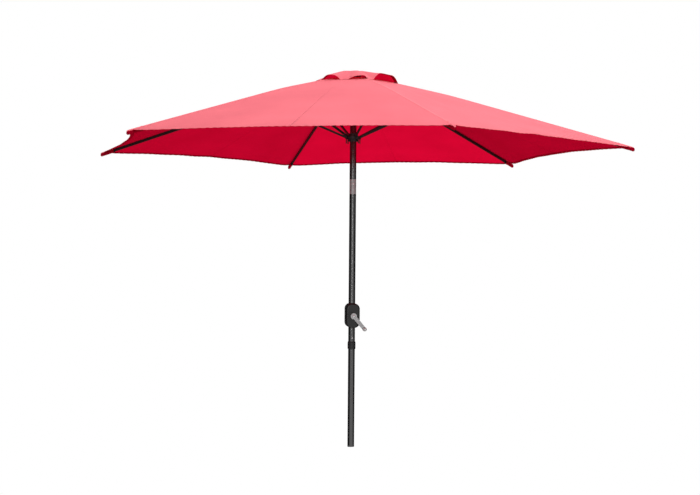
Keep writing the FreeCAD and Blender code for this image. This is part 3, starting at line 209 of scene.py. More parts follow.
def make_floor():
    """A pale floor that looks white and glows a little, like a lit studio sweep."""
    mesh = bpy.data.meshes.new("floor")
    signs = ((-1, -1), (1, -1), (1, 1), (-1, 1))
    corners = [(x * FLOOR_HALF, y * FLOOR_HALF, FLOOR_Z) for x, y in signs]
    mesh.from_pydata(corners, [], [(0, 1, 2, 3)])
    floor = bpy.data.objects.new("floor", mesh)
    scene.collection.objects.link(floor)
    material, tree, shader = plain_material("pale_floor")
    shader.inputs["Base Color"].default_value = (0.8, 0.8, 0.8, 1)
    shader.inputs["Roughness"].default_value = 0.9
    shader.inputs["Emission Color"].default_value = (1, 1, 1, 1)
    shader.inputs["Emission Strength"].default_value = FLOOR_GLOW
    white, panel = tree.nodes.new("ShaderNodeEmission"), tree.nodes.new("ShaderNodeEmission")
    path = tree.nodes.new("ShaderNodeLightPath")
    mix, mirrored = tree.nodes.new("ShaderNodeMixShader"), tree.nodes.new("ShaderNodeMixShader")
    spot = tree.nodes.new("ShaderNodeTexCoord").outputs["Object"]
    tree.links.new(panel_glow(tree, front_panel(tree, spot)), panel.inputs["Strength"])
    tree.links.new(path.outputs["Is Glossy Ray"], mirrored.inputs[0])
    tree.links.new(shader.outputs[0], mirrored.inputs[1])
    tree.links.new(panel.outputs[0], mirrored.inputs[2])
    tree.links.new(path.outputs["Is Camera Ray"], mix.inputs[0])
    tree.links.new(mirrored.outputs[0], mix.inputs[1])
    tree.links.new(white.outputs[0], mix.inputs[2])
    tree.links.new(mix.outputs[0], tree.nodes["Material Output"].inputs["Surface"])
    mesh.materials.append(material)


make_floor()
print("floor half side", FLOOR_HALF)

# %% [markdown]
# ## Shared surface effects
# Several finishes need the same things: fine grain, a plain weave, and scuffs. Each is a node group
# that is built once and gives out only masks and values; every material feeds its own numbers in.

# %% Helpers to build node groups


def new_group(name, inputs, outputs):
    """An empty shader group with float or vector sockets, as (tree, input node, output node)."""
    tree = bpy.data.node_groups.new(name, "ShaderNodeTree")
    for label, kind, value in inputs:
        socket = tree.interface.new_socket(label, in_out="INPUT", socket_type=kind)
        if value is not None:
            socket.default_value = value
    for label, kind in outputs:
        tree.interface.new_socket(label, in_out="OUTPUT", socket_type=kind)
    return tree, tree.nodes.new("NodeGroupInput"), tree.nodes.new("NodeGroupOutput")


def math_node(tree, operation, first, second=None):
    node = tree.nodes.new("ShaderNodeMath")
    node.operation = operation
    for socket, value in zip(node.inputs, (first, second)):
        if value is None:
            continue
        if isinstance(value, (int, float)):
            socket.default_value = value
        else:
            tree.links.new(value, socket)
    return node.outputs[0]


def noise_node(tree, vector, scale, detail=3.0, rough=0.5):
    node = tree.nodes.new("ShaderNodeTexNoise")
    node.inputs["Detail"].default_value = detail
    node.inputs["Roughness"].default_value = rough
    tree.links.new(vector, node.inputs["Vector"])
    if isinstance(scale, (int, float)):
        node.inputs["Scale"].default_value = scale
    else:
        tree.links.new(scale, node.inputs["Scale"])
    return node.outputs["Fac"]


def map_range(tree, value, low, high, start=0.0, end=1.0):
    node = tree.nodes.new("ShaderNodeMapRange")
    node.inputs["From Min"].default_value = start
    node.inputs["From Max"].default_value = end
    node.inputs["To Min"].default_value = low
    node.inputs["To Max"].default_value = high
    tree.links.new(value, node.inputs["Value"])
    return node.outputs[0]


print("node helpers ready")

# %% The plain weave
SLUB_STRETCH = (220.0, 6.0, 1.0)


def make_weave_group():
    """A plain weave over a UV map in metres: height of the yarns, and which yarn lies on top."""
    inputs = [("Vector", "NodeSocketVector", None), ("Yarns per metre", "NodeSocketFloat", 1400.0)]
    outputs = [("Height", "NodeSocketFloat"), ("Shade", "NodeSocketFloat"), ("Slub", "NodeSocketFloat")]
    tree, given, out = new_group("plain_weave", inputs, outputs)
    split = tree.nodes.new("ShaderNodeSeparateXYZ")
    tree.links.new(given.outputs["Vector"], split.inputs[0])
    waves = []
    for axis in ("X", "Y"):
        scaled = math_node(tree, "MULTIPLY", split.outputs[axis], given.outputs["Yarns per metre"])
        turned = math_node(tree, "MULTIPLY", scaled, math.pi)
        waves.append(math_node(tree, "SINE", turned))
    crossing = math_node(tree, "MULTIPLY", waves[0], waves[1])
    height = math_node(tree, "ABSOLUTE", crossing)
    tree.links.new(height, out.inputs["Height"])
    shade = math_node(tree, "MULTIPLY_ADD", crossing, 0.5)
    shade.node.inputs[2].default_value = 0.5
    tree.links.new(shade, out.inputs["Shade"])
    stretch = tree.nodes.new("ShaderNodeMapping")
    stretch.inputs["Scale"].default_value = SLUB_STRETCH
    tree.links.new(given.outputs["Vector"], stretch.inputs["Vector"])
    tree.links.new(noise_node(tree, stretch.outputs[0], 1.0, 2.0), out.inputs["Slub"])
    return tree


weave_group = make_weave_group()
print("group", weave_group.name)

# %% Grain and scuffs
SCRATCH_LEAN, SCRATCH_STRETCH = (0.3, 0.2, 0.1), (260.0, 260.0, 14.0)
SCRATCH_RANGE, SCUFFED_RANGE = (0.66, 0.74), (0.48, 0.62)


def make_grain_group():
    """Fine grain and broad patches on object coordinates, for paint, castings and mouldings."""
    inputs = [("Vector", "NodeSocketVector", None), ("Grain scale", "NodeSocketFloat", 900.0),
              ("Patch scale", "NodeSocketFloat", 14.0)]
    outputs = [("Grain", "NodeSocketFloat"), ("Patches", "NodeSocketFloat")]
    tree, given, out = new_group("surface_grain", inputs, outputs)
    fine = noise_node(tree, given.outputs["Vector"], given.outputs["Grain scale"], 2.0)
    broad = noise_node(tree, given.outputs["Vector"], given.outputs["Patch scale"], 4.0, 0.6)
    tree.links.new(fine, out.inputs["Grain"])
    tree.links.new(broad, out.inputs["Patches"])
    return tree


def make_scuff_group():
    """Thin scratches that run mostly along the piece, as a mask from 0 to 1."""
    inputs = [("Vector", "NodeSocketVector", None), ("Amount", "NodeSocketFloat", 0.5)]
    tree, given, out = new_group("scuffs", inputs, [("Mask", "NodeSocketFloat")])
    stretch = tree.nodes.new("ShaderNodeMapping")
    stretch.inputs["Rotation"].default_value = SCRATCH_LEAN
    stretch.inputs["Scale"].default_value = SCRATCH_STRETCH
    tree.links.new(given.outputs["Vector"], stretch.inputs["Vector"])
    lines = noise_node(tree, stretch.outputs[0], 1.0, 1.0)
    where = noise_node(tree, given.outputs["Vector"], 9.0, 2.0)
    sharp = map_range(tree, lines, 0.0, 1.0, *SCRATCH_RANGE)
    some = map_range(tree, where, 0.0, 1.0, *SCUFFED_RANGE)
    both = math_node(tree, "MULTIPLY", sharp, some)
    tree.links.new(math_node(tree, "MULTIPLY", both, given.outputs["Amount"]), out.inputs["Mask"])
    return tree


grain_group = make_grain_group()
scuff_group = make_scuff_group()
print("groups", [g.name for g in bpy.data.node_groups])

# %% [markdown]
# ## Paint, plastic and metal
# A hard finish is one Principled shader. The grain group moves its roughness a little and gives a
# faint bump; the scuff group brightens and roughens thin lines. Only the numbers differ between the
# gloss powder coat, the moulded plastic, the die-cast grey and the plated steel.

# %% Helpers for materials


def use_group(tree, group, vector, **values):
    node = tree.nodes.new("ShaderNodeGroup")
    node.node_tree = group
    tree.links.new(vector, node.inputs["Vector"])
    for label, value in values.items():
        node.inputs[label.replace("_", " ")].default_value = value
    return node


def mix_colours(tree, factor, first, second):
    node = tree.nodes.new("ShaderNodeMix")
    node.data_type = "RGBA"
    tree.links.new(factor, node.inputs["Factor"])
    for label, value in (("A", first), ("B", second)):
        socket = [s for s in node.inputs if s.name == label and s.type == "RGBA"][0]
        if isinstance(value, tuple):
            socket.default_value = (*value, 1.0)
        else:
            tree.links.new(value, socket)
    return [s for s in node.outputs if s.type == "RGBA"][0]


print("material helpers ready")

# %% One hard finish
PATCH_LIGHT = 1.18
PATCH_ROUGH = (0.85, 1.15)
SCUFF_ROUGH = 0.25
COAT_ROUGH = 0.12
GRAIN_DEPTH = 0.0004


def hard_finish(name, colour, scuffed, rough, metallic=0.0, coat=0.0, grain=900.0, bump=0.1,
                scuff=0.4, gloss=0.5):
    """Paint, plastic or metal: rough, metallic, coat and gloss set the kind, the rest its wear."""
    material, tree, shader = plain_material(name)
    spot = tree.nodes.new("ShaderNodeTexCoord").outputs["Object"]
    surface = use_group(tree, grain_group, spot, Grain_scale=grain)
    marks = use_group(tree, scuff_group, spot, Amount=scuff)
    patches = map_range(tree, surface.outputs["Patches"], 0.0, 1.0, 0.3, 0.7)
    tone = mix_colours(tree, patches, colour, tuple(c * PATCH_LIGHT for c in colour))
    tree.links.new(mix_colours(tree, marks.outputs["Mask"], tone, scuffed), shader.inputs["Base Color"])
    least, most = (rough * share for share in PATCH_ROUGH)
    base = map_range(tree, surface.outputs["Patches"], least, most, 0.3, 0.7)
    worn = math_node(tree, "MULTIPLY_ADD", marks.outputs["Mask"], SCUFF_ROUGH)
    tree.links.new(base, worn.node.inputs[2])
    tree.links.new(worn, shader.inputs["Roughness"])
    shader.inputs["Metallic"].default_value = metallic
    shader.inputs["Coat Weight"].default_value = coat
    shader.inputs["Coat Roughness"].default_value = COAT_ROUGH
    shader.inputs["Specular IOR Level"].default_value = gloss
    relief = tree.nodes.new("ShaderNodeBump")
    relief.inputs["Strength"].default_value = bump
    relief.inputs["Distance"].default_value = GRAIN_DEPTH
    tree.links.new(surface.outputs["Grain"], relief.inputs["Height"])
    tree.links.new(relief.outputs[0], shader.inputs["Normal"])
    return material


print("a scuff adds", SCUFF_ROUGH, "to the roughness")

# %% The finishes of the hard parts
pole_paint = hard_finish("gloss_black_coat", (0.0025, 0.0025, 0.003), (0.02, 0.02, 0.02), 0.17,
                         coat=0.9, bump=0.08, scuff=0.2, gloss=0.9)
rib_paint = hard_finish("black_rib_paint", (0.006, 0.005, 0.006), (0.05, 0.05, 0.05), 0.42, bump=0.12)
black_plastic = hard_finish("black_moulding", (0.008, 0.008, 0.009), (0.05, 0.05, 0.05), 0.5,
                            grain=1600.0, bump=0.35)
housing_plastic = hard_finish("glossy_black_moulding", (0.004, 0.0035, 0.004), (0.02, 0.02, 0.02), 0.30,
                              grain=1200.0, bump=0.15)
cast_grey = hard_finish("cast_grey_metal", (0.36, 0.355, 0.36), (0.62, 0.62, 0.62), 0.38, metallic=0.85,
                        grain=700.0, bump=0.4, scuff=0.6)
bright_steel = hard_finish("plated_steel", (0.60, 0.60, 0.61), (0.8, 0.8, 0.8), 0.25, metallic=1.0,
                           bump=0.1)
grey_grip = hard_finish("grey_grip_moulding", (0.42, 0.42, 0.41), (0.55, 0.55, 0.55), 0.4,
                        grain=1500.0, bump=0.2)
sleeve_grey = hard_finish("anodised_sleeve", (0.32, 0.34, 0.34), (0.46, 0.48, 0.48), 0.42, metallic=0.5,
                          grain=900.0, bump=0.2, scuff=0.5)
pale_button = hard_finish("pale_button_moulding", (0.72, 0.74, 0.74), (0.80, 0.80, 0.80), 0.3,
                          grain=1500.0)
print("hard finishes made")

# %% Put each finish on its parts
BY_NODE = {
    "crank_knob": grey_grip, "tilt_lower": sleeve_grey, "tilt_upper": sleeve_grey,
    "tilt_button": pale_button,
}
FINISHES = {
    "pole_paint": pole_paint, "rib_paint": rib_paint, "black_plastic": black_plastic,
    "gloss_black": housing_plastic, "cast_grey": cast_grey, "steel": bright_steel,
}
slots = {s["node"]: s["material_slot"] for s in frame["record"]["subparts"]}
for node_name, node in frame["nodes"].items():
    finish = BY_NODE.get(node_name) or FINISHES.get(slots[node_name])
    if finish is None:
        continue
    if not node.material_slots:
        node.data.materials.append(finish)
    for place in node.material_slots:
        place.material = finish
print("finishes", sorted(FINISHES))

# %% [markdown]
# ## The cloth's two faces
# The canopy is plain-woven red polyester. Its coral pink top is painted light, the one red cloth as
# strong light washes it out, and its deep crimson underside is painted shade, so the two faces get their
# own materials, both with the same weave. The weave, its slubs and the yarn shadows come from one group
# on the cut's own map, in metres.

# %% One cloth finish
YARN_SHADOW, SHADE_SHARE, SLUB_SHARE = 0.25, 0.16, 0.12
WEAVE_BUMP, WEAVE_DEPTH = 0.35, 0.0003


def cloth_finish(name, dark, light, sheen, rough, yarns=900.0, through=0.0):
    """Woven cloth; through is how much of the light above comes through to this face."""
    material, tree, shader = plain_material(name)
    spot = tree.nodes.new("ShaderNodeUVMap")
    spot.uv_map = "cut"
    weave = use_group(tree, weave_group, spot.outputs["UV"], Yarns_per_metre=yarns)
    broad = noise_node(tree, spot.outputs["UV"], 3.0, 3.0)
    tone = mix_colours(tree, map_range(tree, broad, 0.0, 1.0, 0.3, 0.7), dark, light)
    shadow = tuple(c * YARN_SHADOW for c in dark)
    yarn = mix_colours(tree, map_range(tree, weave.outputs["Shade"], 0.0, SHADE_SHARE), tone, shadow)
    thick_yarns = map_range(tree, weave.outputs["Slub"], 0.0, SLUB_SHARE, 0.4, 0.7)
    slub = mix_colours(tree, thick_yarns, yarn, light)
    tree.links.new(slub, shader.inputs["Base Color"])
    worn = map_range(tree, broad, rough - 0.06, rough + 0.06, 0.3, 0.7)
    tree.links.new(worn, shader.inputs["Roughness"])
    shader.inputs["Sheen Weight"].default_value = sheen
    shader.inputs["Sheen Roughness"].default_value = 0.5
    shader.inputs["Specular IOR Level"].default_value = 0.12 if sheen else 0.0
    if through:
        tree.links.new(slub, shader.inputs["Emission Color"])
        shader.inputs["Emission Strength"].default_value = through
    relief = tree.nodes.new("ShaderNodeBump")
    relief.inputs["Strength"].default_value = WEAVE_BUMP
    relief.inputs["Distance"].default_value = WEAVE_DEPTH
    tree.links.new(weave.outputs["Height"], relief.inputs["Height"])
    tree.links.new(relief.outputs[0], shader.inputs["Normal"])
    return material


print("weave depth", WEAVE_DEPTH)

# %% The cloths and threads
# The top's coral pink is painted light: the red cloth washed out by strong light from above.
lit_cloth_top = cloth_finish("red_cloth_top", (0.84, 0.150, 0.190), (0.93, 0.185, 0.225), 0.05, 0.86)
# The undersides' deep crimson, of canopy and vent cap, is painted shade: the same red cloth turned away from
# the light.
UNDER_DARK, UNDER_LIGHT = (0.43, 0.0011, 0.019), (0.50, 0.0015, 0.024)
# Light that comes through the cloth, as a faint glow of each gore from rib 1's on, and of the vent.
# It suits lamps above an upright canopy, and stays the same when the canopy tilts or shuts.
THROUGH = (0.62, 0.30, 0.0, 0.20, 0.15, 0.02)
VENT_THROUGH = 0.85
shaded_cloth_unders = [
    cloth_finish(f"red_cloth_underside_{k + 1}", UNDER_DARK, UNDER_LIGHT, 0.0, 0.9, through=THROUGH[k])
    for k in range(6)
]
shaded_vent_under = cloth_finish("red_vent_underside", UNDER_DARK, UNDER_LIGHT, 0.0, 0.9,
                          through=VENT_THROUGH)
# A still darker crimson is painted shade: on the folded-back hem, a double layer that lets less light
# through, and on the pockets' lower faces.
shaded_hem_under = cloth_finish("red_hem_underside", (0.26, 0.0006, 0.010), (0.32, 0.0008, 0.013), 0.0, 0.9)
# The seam tape and the red thread lie on the top, so their coral pinks are painted light too.
tape_finish = cloth_finish("red_seam_tape", (0.90, 0.20, 0.235), (0.98, 0.25, 0.29), 0.05, 0.84, 1300.0)
thread = cloth_finish("red_thread", (0.80, 0.13, 0.17), (0.95, 0.22, 0.26), 0.1, 0.6, 2500.0)
dark_thread = cloth_finish("dark_red_thread", (0.12, 0.004, 0.012), (0.20, 0.008, 0.02), 0.1, 0.6, 2500.0)
print("cloth materials made")

# %% [markdown]
# ## The canopy's shape
# Six ribs carry the cloth. Between two ribs it is pulled tight across and hangs a little below the
# straight line. Its free edge is cut hollow so that the points pull it taut, and close to each rib the
# edge turns outwards into a narrow tongue for the rib's pocket. The shape is a rule: a height for each
# place between two ribs. A grid that follows the rule gives one smooth sheet, where a cloth simulation
# would only find the same tight surface slowly.

# %% Measures of the canopy
RIBS = 6
HALF = math.pi / RIBS
FIRST_RIB = math.radians(38.7)
TIP = 1.550  # from the axis to a point of the canopy
HOLLOW = 0.075  # how far the hem is cut in midway between two ribs
TONGUE, TONGUE_SPREAD = 0.040, 0.032  # how far the hem runs out to a pocket, and over what width
VENT_HOLE, VENT_EDGE = 0.150, 0.255  # the hole under the vent cap, and the cap's own edge, at a rib
CLOTH = 0.001
BEND = (0.5455, 1.9778)  # the rib's bend: distance from the axis, and height
INNER_SLOPE = math.tan(math.radians(13.6))
OUTER_ANGLE = math.radians(16.7)
OUTER_SLOPE = math.tan(OUTER_ANGLE)
SAG = 0.011


def rib_angle(k):
    return FIRST_RIB + 2 * HALF * k


def line_height(x):
    """Height of the cloth over a rib at a distance from the axis, eased round the rib's bend."""
    gap = x - BEND[0]
    ease = 0.06
    middle = (INNER_SLOPE + OUTER_SLOPE) / 2
    extra = (OUTER_SLOPE - INNER_SLOPE) / 2
    return BEND[1] + CLOTH - middle * gap - extra * (np.sqrt(gap * gap + ease * ease) - ease * 0.2)


print("height at a point", round(float(line_height(np.array(TIP))), 4))

# %% The hem's outline


def hem_radius(turn):
    """Distance of the hem from the axis at an angle from the line midway between two ribs."""
    out, chord = TIP * math.cos(HALF), TIP * math.sin(HALF)
    r = np.full_like(turn, out)
    for _ in range(80):
        across = np.abs(r * np.sin(turn))
        hollow = HOLLOW * (1 - (across / chord) ** 2)
        tongue = TONGUE * np.exp(-(chord - across) / TONGUE_SPREAD)
        r = (out - hollow - tongue) / np.cos(turn)
    return r


hem_ends = hem_radius(np.array([HALF, 0.0]))
print("hem at a rib and midway", [round(float(r), 4) for r in hem_ends])

# %% [markdown]
# ## Tension waves, the vent cap and its lift
# Taut cloth is never quite smooth, so a few shallow waves run from top to hem. The vent cap is a flat
# dome that is held only at its six corners; wind room and slack let its edge stand up in arches, and
# one of its sides is blown well up.

# %% Random waves and the vent cap's arches
draws = np.random.default_rng(7)
waves = draws.uniform(-1, 1, (RIBS, 5, 3))
# For each gore the arches of the vent cap's edge, from -1 at its first rib to 1 at its second: where
# each starts, peaks from, peaks to and ends, and how high it stands.
ARCHES = [
    [(-0.95, -0.55, -0.45, -0.05, 0.018), (0.05, 0.45, 0.55, 1.0, 0.022)],
    [(-1.0, -0.5, -0.3, 0.2, 0.024), (0.3, 0.6, 0.65, 1.0, 0.014)],
    [(-0.9, -0.3, 0.1, 0.8, 0.010)],
    [(-1.0, -0.72, -0.62, -0.20, 0.027), (0.20, 0.78, 0.84, 1.0, 0.020)],
    [(-0.66, -0.12, 0.55, 1.0, 0.041)],
    [(-0.7, -0.4, -0.3, 0.1, 0.012), (0.1, 0.45, 0.6, 1.0, 0.024)],
]
print("arches on each side", [len(each) for each in ARCHES])

# %% Rules for both cloths


def creases(gore, g, s):
    """Small tension waves that run from the top to the hem, 0 at the ribs."""
    total = np.zeros_like(g + s)
    for n, (size, phase, drift) in enumerate(waves[gore]):
        total = total + size * np.sin((n + 2) * math.pi * (g + 0.25 * drift * s) + phase * 3)
    return total * (1 - g * g) ** 1.5 * (0.0003 + 0.0007 * s * s)


def hem_pucker(gore, g, s, pitch=0.040, depth=0.0007):
    """The hem's rows of stitches draw it up into short ripples."""
    across = g * HALF * TIP
    ripple = np.sin(2 * math.pi * across / pitch + 1.7 * np.sin(across * 9 + gore))
    return depth * ripple * np.exp(-((1 - s) * 1.2 / 0.030) ** 2) * (1 - g ** 8)


def gore_point(gore, g, s, start, reach, height, bulge):
    """A point of a gore: g runs from -1 at its first rib to 1 at its second, s from top to hem."""
    turn = g * HALF
    near = start * math.cos(HALF) / np.cos(turn)
    r = near + (reach(turn) - near) * s
    d = r * np.cos(turn)
    z = height(d / math.cos(HALF)) + bulge(gore, r, g, s)
    angle = rib_angle(gore) + HALF + turn
    return np.stack([r * np.cos(angle), r * np.sin(angle), z], axis=-1)


def canopy_bulge(gore, r, g, s):
    sag = SAG * (r / TIP) ** 1.3 * (1 - g * g)
    return creases(gore, g, s) + hem_pucker(gore, g, s) - sag


def canopy_point(gore, g, s):
    return gore_point(gore, g, s, VENT_HOLE, hem_radius, line_height, canopy_bulge)


print("waves drawn for each gore", waves.shape[1])

# %% The vent cap's rule
VENT_START = 0.030
VENT_FLAT = 0.075  # the dome is level out to here
VENT_TOP = 2.1195


def vent_reach(turn):
    return VENT_EDGE * math.cos(HALF) / np.cos(turn)


def vent_height(x):
    """A flat dome that comes down to the canopy at the vent's corners."""
    corner = float(line_height(np.array(VENT_EDGE))) + 0.0025
    past = np.clip((x - VENT_FLAT) / (VENT_EDGE - VENT_FLAT), 0, None)
    return VENT_TOP - (VENT_TOP - corner) * past ** 1.3


def arch(g, start, rise, fall, end, high):
    """An arch of the edge: it swings up from start to rise, stays, and falls from fall to end."""
    up = np.clip((rise - g) / (rise - start), 0, 1)
    down = np.clip((g - fall) / (end - fall), 0, 1)
    return high * np.clip(1 - up ** 2.0, 0, 1) * np.clip(1 - down ** 2.6, 0, 1)


def vent_bulge(gore, r, g, s):
    lift = sum(arch(g, *each) for each in ARCHES[gore])
    wave = 0.0012 * np.sin(5 * g + gore * 2) * (1 - g * g) * s
    return lift * s ** 2.2 + wave


def vent_point(gore, g, s):
    return gore_point(gore, g, s, VENT_START, vent_reach, vent_height, vent_bulge)


print("vent corner height", round(float(vent_height(np.array(VENT_EDGE))), 4))

# %% [markdown]
# ## Half gores on their ribs
# When the umbrella shuts, each rib draws in the cloth on both its sides. So each gore is made as two
# halves, one for each of its ribs, that meet midway without a seam. Each half rides on its rib. Its
# free edge is folded under and runs back inside, as a sewn hem does, so the edge shows two layers.

# %% Sheets from grids


def new_piece(name, mesh, *materials):
    piece = bpy.data.objects.new(name, mesh)
    scene.collection.objects.link(piece)
    for material in materials:
        mesh.materials.append(material)
    return piece


def grid_sheet(name, points, uv, upward, *materials):
    """A sheet through a grid of points, with its cut in metres as the UV map."""
    rows, columns = points.shape[:2]
    i, j = np.meshgrid(np.arange(rows - 1), np.arange(columns - 1), indexing="ij")
    a = (i * columns + j).ravel()
    faces = np.stack([a, a + 1, a + columns + 1, a + columns], axis=1)
    if not upward:
        faces = faces[:, ::-1]
    mesh = bpy.data.meshes.new(name)
    mesh.from_pydata(points.reshape(-1, 3).tolist(), [], faces.tolist())
    layer = mesh.uv_layers.new(name="cut")
    index = np.zeros(len(mesh.loops), int)
    mesh.loops.foreach_get("vertex_index", index)
    layer.data.foreach_set("uv", uv.reshape(-1, 2)[index].astype(np.float32).ravel())
    mesh.shade_smooth()
    return new_piece(name, mesh, *materials)


def thicken(piece, thickness, inner_slot=0):
    solid = piece.modifiers.new("cloth thickness", "SOLIDIFY")
    solid.thickness = thickness
    solid.offset = -1
    solid.material_offset = inner_slot
    solid.material_offset_rim = 0
    return solid


print("sheet helpers ready")

# %% A hem folded under
HEM_WIDTH = 0.020
HEM_RADIUS = 0.0013


def steps(points, axis):
    """Running length through a grid along one axis."""
    gaps = np.linalg.norm(np.diff(points, axis=axis), axis=-1)
    return np.insert(np.cumsum(gaps, axis=axis), 0, 0, axis=axis)


def along_columns(points, back, far):
    """The line through a grid that lies a set way back from its last row."""
    columns = range(points.shape[1])
    return np.array([[np.interp(-far, -back[:, j], points[:, j, c]) for c in range(3)] for j in columns])


def fold_under(points, width, radius):
    """Rows that carry a grid's last edge round and back beneath it."""
    out = points[-1] - points[-2]
    out /= np.linalg.norm(out, axis=-1, keepdims=True)
    side = np.gradient(points[-1], axis=0)
    down = np.cross(out, side)
    down *= -np.sign(down[:, 2:3]) / np.linalg.norm(down, axis=-1, keepdims=True)
    rows = []
    for angle in np.linspace(0, math.pi, 7)[1:]:
        rows.append(points[-1] + out * radius * math.sin(angle) + down * radius * (1 - math.cos(angle)))
    run = steps(points, 0)
    back = run[-1] - run
    for far in (0.004, 0.009, 0.014, width):
        rows.append(along_columns(points, back, far) + down * radius * 2)
    return np.stack(rows)


print("hem width", HEM_WIDTH)

# %% Half a gore


def half_panel(name, point, gore, side, across, along, materials):
    """Half a gore from its rib to the middle, with its hem folded under."""
    g = (across - 1) if side > 0 else (1 - across)
    grid = point(gore, g[None, :], along[:, None])
    whole = np.concatenate([grid, fold_under(grid, HEM_WIDTH, HEM_RADIUS)])
    uv = np.stack([steps(grid, 1)[-1] * np.ones((len(whole), 1)), steps(whole, 0)], axis=-1)
    taper = np.linspace(0.15, 1, len(grid)) ** 0.9
    uv[..., 0] *= np.concatenate([taper, np.ones(len(whole) - len(grid))])[:, None]
    piece = grid_sheet(name, whole, uv, side < 0, *materials)
    under = np.zeros(len(piece.data.polygons), np.int32)
    # The folded-back hem rows take the darker crimson, painted shade.
    under[(len(grid) + 2) * (len(across) - 1):] = 2
    piece.data.polygons.foreach_set("material_index", under)
    thicken(piece, CLOTH, 1)
    return piece


print("half panel ready")


def declare_cloth(piece):
    """Say the size of the cut: its UV map's rectangle, and the mesh's own area up to that."""
    uv = np.zeros(len(piece.data.loops) * 2, np.float32)
    piece.data.uv_layers["cut"].data.foreach_get("uv", uv)
    width, length = (float(x) for x in np.ptp(uv.reshape(-1, 2), axis=0))
    area = sum(face.area for face in piece.data.polygons)
    return width, length, area


def gather(piece):
    """Give a piece its own copy of its mesh."""
    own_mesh(piece)


def place_half(piece, k):
    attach(piece, f"rib_{k + 1}")
    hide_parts(f"canopy_{k + 1}")
    gather(piece)


# %% The canopy's twelve halves
ACROSS = np.linspace(0, 1, 97) ** 1.25
ALONG = np.concatenate([np.linspace(0, 0.94, 60), np.linspace(0.945, 1.0, 16)])
canopy_cut = []
for k in range(RIBS):
    for side, label in ((1, "left"), (-1, "right")):
        gore = k if side > 0 else (k - 1) % RIBS
        half_gore = half_panel(f"canopy_{k + 1}_{label}", canopy_point, gore, side, ACROSS, ALONG,
                               (lit_cloth_top, shaded_cloth_unders[gore], shaded_hem_under))
        place_half(half_gore, k)
        canopy_cut.append(declare_cloth(half_gore))
print("half gore cut", [round(x, 3) for x in canopy_cut[0]])

# %% The vent cap's twelve halves
VENT_ACROSS = np.linspace(0, 1, 41)
VENT_ALONG = np.concatenate([np.linspace(0, 0.9, 28), np.linspace(0.915, 1.0, 8)])
vent_cut = []
for k in range(RIBS):
    for side, label in ((1, "left"), (-1, "right")):
        gore = k if side > 0 else (k - 1) % RIBS
        cap = half_panel(f"vent_cap_{k + 1}_{label}", vent_point, gore, side, VENT_ACROSS, VENT_ALONG,
                         (lit_cloth_top, shaded_vent_under, shaded_hem_under))
        place_half(cap, k)
        vent_cut.append(declare_cloth(cap))
print("half vent gore cut", [round(x, 3) for x in vent_cut[0]])

# %% [markdown]
# ## Seams, stitches and pockets
# The gores are joined along the ribs. A narrow tape covers each seam, held by two rows of stitches,
# and one row runs round the hem. A stitch is a short bead of thread that dips into the cloth at both
# ends. The same bead is set at even spots along a line, and all the beads of a row make one mesh.

# %% Stitches along a line of points


def even_spots(points, pitch, inset=0.0):
    """Places at an even pitch along a line, as (middle, direction) rows."""
    gaps = np.linalg.norm(np.diff(points, axis=0), axis=1)
    run = np.insert(np.cumsum(gaps), 0, 0)
    where = np.arange(inset + pitch / 2, run[-1] - inset, pitch)
    middle = np.stack([np.interp(where, run, points[:, c]) for c in range(3)], axis=1)
    ahead = np.stack([np.interp(where + pitch / 4, run, points[:, c]) for c in range(3)], axis=1)
    along = ahead - middle
    return middle, along / np.linalg.norm(along, axis=1, keepdims=True)


def stitch_rows(rows, length, thick):
    """One mesh of stitches: a five-sided bead on each spot, sunk at both ends."""
    stations = ((-0.5, 0.15, -0.6), (-0.3, 0.9, 0.2), (0.0, 1.0, 0.5), (0.3, 0.9, 0.2), (0.5, 0.15, -0.6))
    sides = 5
    vertices, faces = [], []
    count = 0
    for spots, along, normal in rows:
        across = np.cross(normal, along)
        rings = []
        for place, size, rise in stations:
            for n in range(sides):
                turn = 2 * math.pi * n / sides
                ring = across * math.cos(turn) + normal * math.sin(turn)
                rings.append(spots + along * place * length + normal * rise * thick + ring * size * thick)
        block = np.stack(rings, axis=1)
        vertices.append(block.reshape(-1, 3))
        one = []
        for ring in range(len(stations) - 1):
            for n in range(sides):
                a, b = ring * sides + n, ring * sides + (n + 1) % sides
                one.append((a, b, b + sides, a + sides))
        offset = count + np.arange(len(spots)) * block.shape[1]
        faces.append((np.array(one)[None] + offset[:, None, None]).reshape(-1, 4))
        ends = [tuple(range(sides))[::-1], tuple(range(block.shape[1] - sides, block.shape[1]))]
        faces.append((np.array(ends)[None] + offset[:, None, None]).reshape(-1, sides))
        count += len(spots) * block.shape[1]
    mesh = bpy.data.meshes.new("stitches")
    every = [tuple(face) for part in faces for face in part.tolist()]
    mesh.from_pydata(np.concatenate(vertices).tolist(), [], every)
    mesh.shade_smooth()
    return mesh


def normals_up(along, side):
    normal = np.cross(along, side)
    normal *= np.sign(normal[:, 2:3])
    return normal / np.linalg.norm(normal, axis=1, keepdims=True)


print("stitch helpers ready")

# %% Tape over a rib's seam
TAPE_HALF = 0.0075
TAPE_THICK = 0.0008
TAPE_END = 1.500
SEAM_ROW = 0.0052  # from the seam to each of its two rows of stitches
THREAD = 0.00042


def seam_surface(k, x, across, lift):
    """A point on the canopy beside rib k: x out along the rib and some way across it."""
    turn = np.arctan2(np.abs(across), x)
    g = -1 + turn / HALF
    r = np.hypot(x, across)
    z = line_height(r * np.cos(HALF - turn) / math.cos(HALF)) - SAG * (r / TIP) ** 1.3 * (1 - g * g) + lift
    c, s = math.cos(rib_angle(k)), math.sin(rib_angle(k))
    return np.stack([x * c - across * s, x * s + across * c, z], axis=-1)


